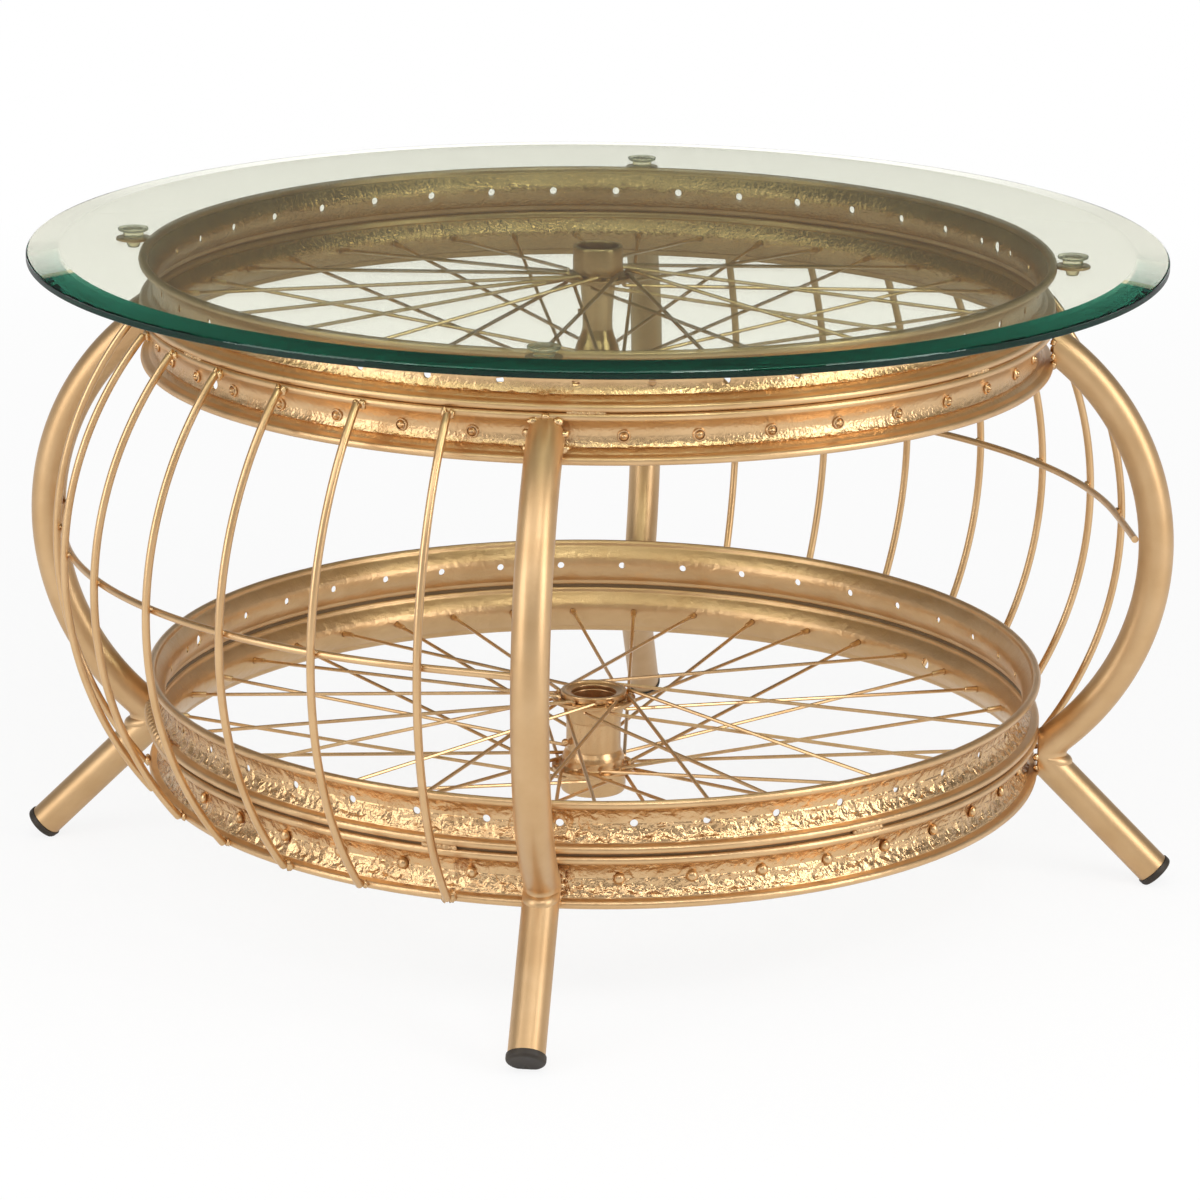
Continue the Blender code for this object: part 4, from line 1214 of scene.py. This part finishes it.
floor_finish, graph = new_finish("pale_floor")
seen, gloss, through, sharp = ray_kinds(graph)
trapped, crossing = inside_turns(graph)
place = graph.node("ShaderNodeTexCoord", output="Object")
length = graph.node("ShaderNodeVectorMath", {"operation": "LENGTH"}, {0: place}, output="Value")
away = length * (1.0 / RAMP_REACH)
far = away.ramp((0.12, 0.0), (0.50, 1.0))
behind = away.ramp((0.10, 0.0), (0.22, 1.0)).blend(UNDER_WHITE, WARM_WHITE)
bright = sharp.blend(through.blend(WHITE, behind), DIM_WHITE)
bright = crossing.blend(trapped.blend(bright, WHITE), DIM_WHITE)
near_white = (seen + through) * NEAR_SHOWN + gloss * NEAR_GLOSS + sharp * NEAR_SHARP
near_white = graph.math("MINIMUM", near_white, 1.0)
far_white = graph.math("MINIMUM", seen + through + gloss * FAR_GLOSS, 1.0)
share = near_white + (far_white - near_white) * far
matt = graph.node("ShaderNodeBsdfDiffuse", None, {"Color": PALE_GREY})
white = graph.node("ShaderNodeEmission", None, {"Color": bright, "Strength": 1.0})
mixed = graph.node("ShaderNodeMixShader", None, {0: share, 1: matt, 2: white})
graph.node("ShaderNodeOutputMaterial", None, {"Surface": mixed})

FLOOR_SPAN = 14.0
FLOOR_POINTS = 9
FLOOR_DROP = 0.0003
side = np.linspace(-FLOOR_SPAN / 2, FLOOR_SPAN / 2, FLOOR_POINTS)
floor_x, floor_y = np.meshgrid(side, side)
floor_points = np.stack((floor_x, floor_y, np.full_like(floor_x, -FLOOR_DROP)), axis=-1)
floor_faces = grid_faces(FLOOR_POINTS, FLOOR_POINTS, ring_columns=False)[:, ::-1]
studio_floor = mesh_object("studio_floor", floor_points.reshape(-1, 3), [floor_faces], floor_finish)
print("floor:", FLOOR_SPAN, "m")

# %% World
AMBIENT = 0.40
SOFT_DIM = 0.26
HIGH_DIM, HIGH_SOFT, HIGH_THROUGH = 0.94, 0.18, 0.06
CROSSING_DIM = 0.80

world = bpy.data.worlds.new("white_studio")
bpy.context.scene.world = world
world.use_nodes = True
world.node_tree.nodes.clear()
graph = Signal(world.node_tree)
direction = graph.node("ShaderNodeTexCoord", output="Generated")
height = graph.node("ShaderNodeSeparateXYZ", None, {0: direction}, output="Z")
trapped, crossing = inside_turns(graph)
seen, gloss, through, sharp = ray_kinds(graph)
plain = gloss - sharp
steep = height.ramp((0.02, 0.0), (0.12, 1.0))
slow = height.ramp((0.0, 0.0), (0.45, 1.0))
fall = steep + (slow - steep) * plain
high_dim = HIGH_DIM - plain * HIGH_SOFT - through * HIGH_THROUGH
open_room = (1.0 - plain * SOFT_DIM) * (1.0 - fall * high_dim)
room = open_room + (1.0 - crossing * CROSSING_DIM - open_room) * trapped
bright = through.blend(WHITE, THROUGH_SKY)
sent = graph.math("MINIMUM", gloss + through, 1.0)
strength = seen + (1.0 - seen) * (sent * room + (1.0 - sent) * AMBIENT)
sky = graph.node("ShaderNodeBackground", None, {"Color": bright, "Strength": strength})
graph.node("ShaderNodeOutputWorld", None, {"Surface": sky})
print("world:", world.name)

# %% Lamps
AIM = Vector((0.0, 0.0, 0.24))
LAMPS = (
    ("left_softbox", (-1.75, -1.45, 1.2), 1.3, 2.0, 21.0),
    ("right_softbox", (1.9, -0.90, 1.1), 0.8, 1.6, 19.0),
    ("top_softbox", (0.1, 0.1, 2.3), 1.7, 1.7, 10.0),
    ("front_softbox", (-0.1, -1.9, 2.1), 2.2, 1.7, 16.0),
    ("small_key", (1.00, -1.75, 2.2), 0.60, 0.60, 8.0),
)
for name, place, width, depth, power in LAMPS:
    lamp = bpy.data.lights.new(name, "AREA")
    lamp.shape = "RECTANGLE"
    lamp.size = width
    lamp.size_y = depth
    lamp.energy = power
    stand_in = bpy.data.objects.new(name, lamp)
    stand_in.location = place
    stand_in.rotation_euler = (AIM - Vector(place)).to_track_quat("-Z", "Y").to_euler()
    bpy.context.scene.collection.objects.link(stand_in)
bpy.context.scene.view_settings.view_transform = "Standard"
print("lamps:", [row[0] for row in LAMPS])
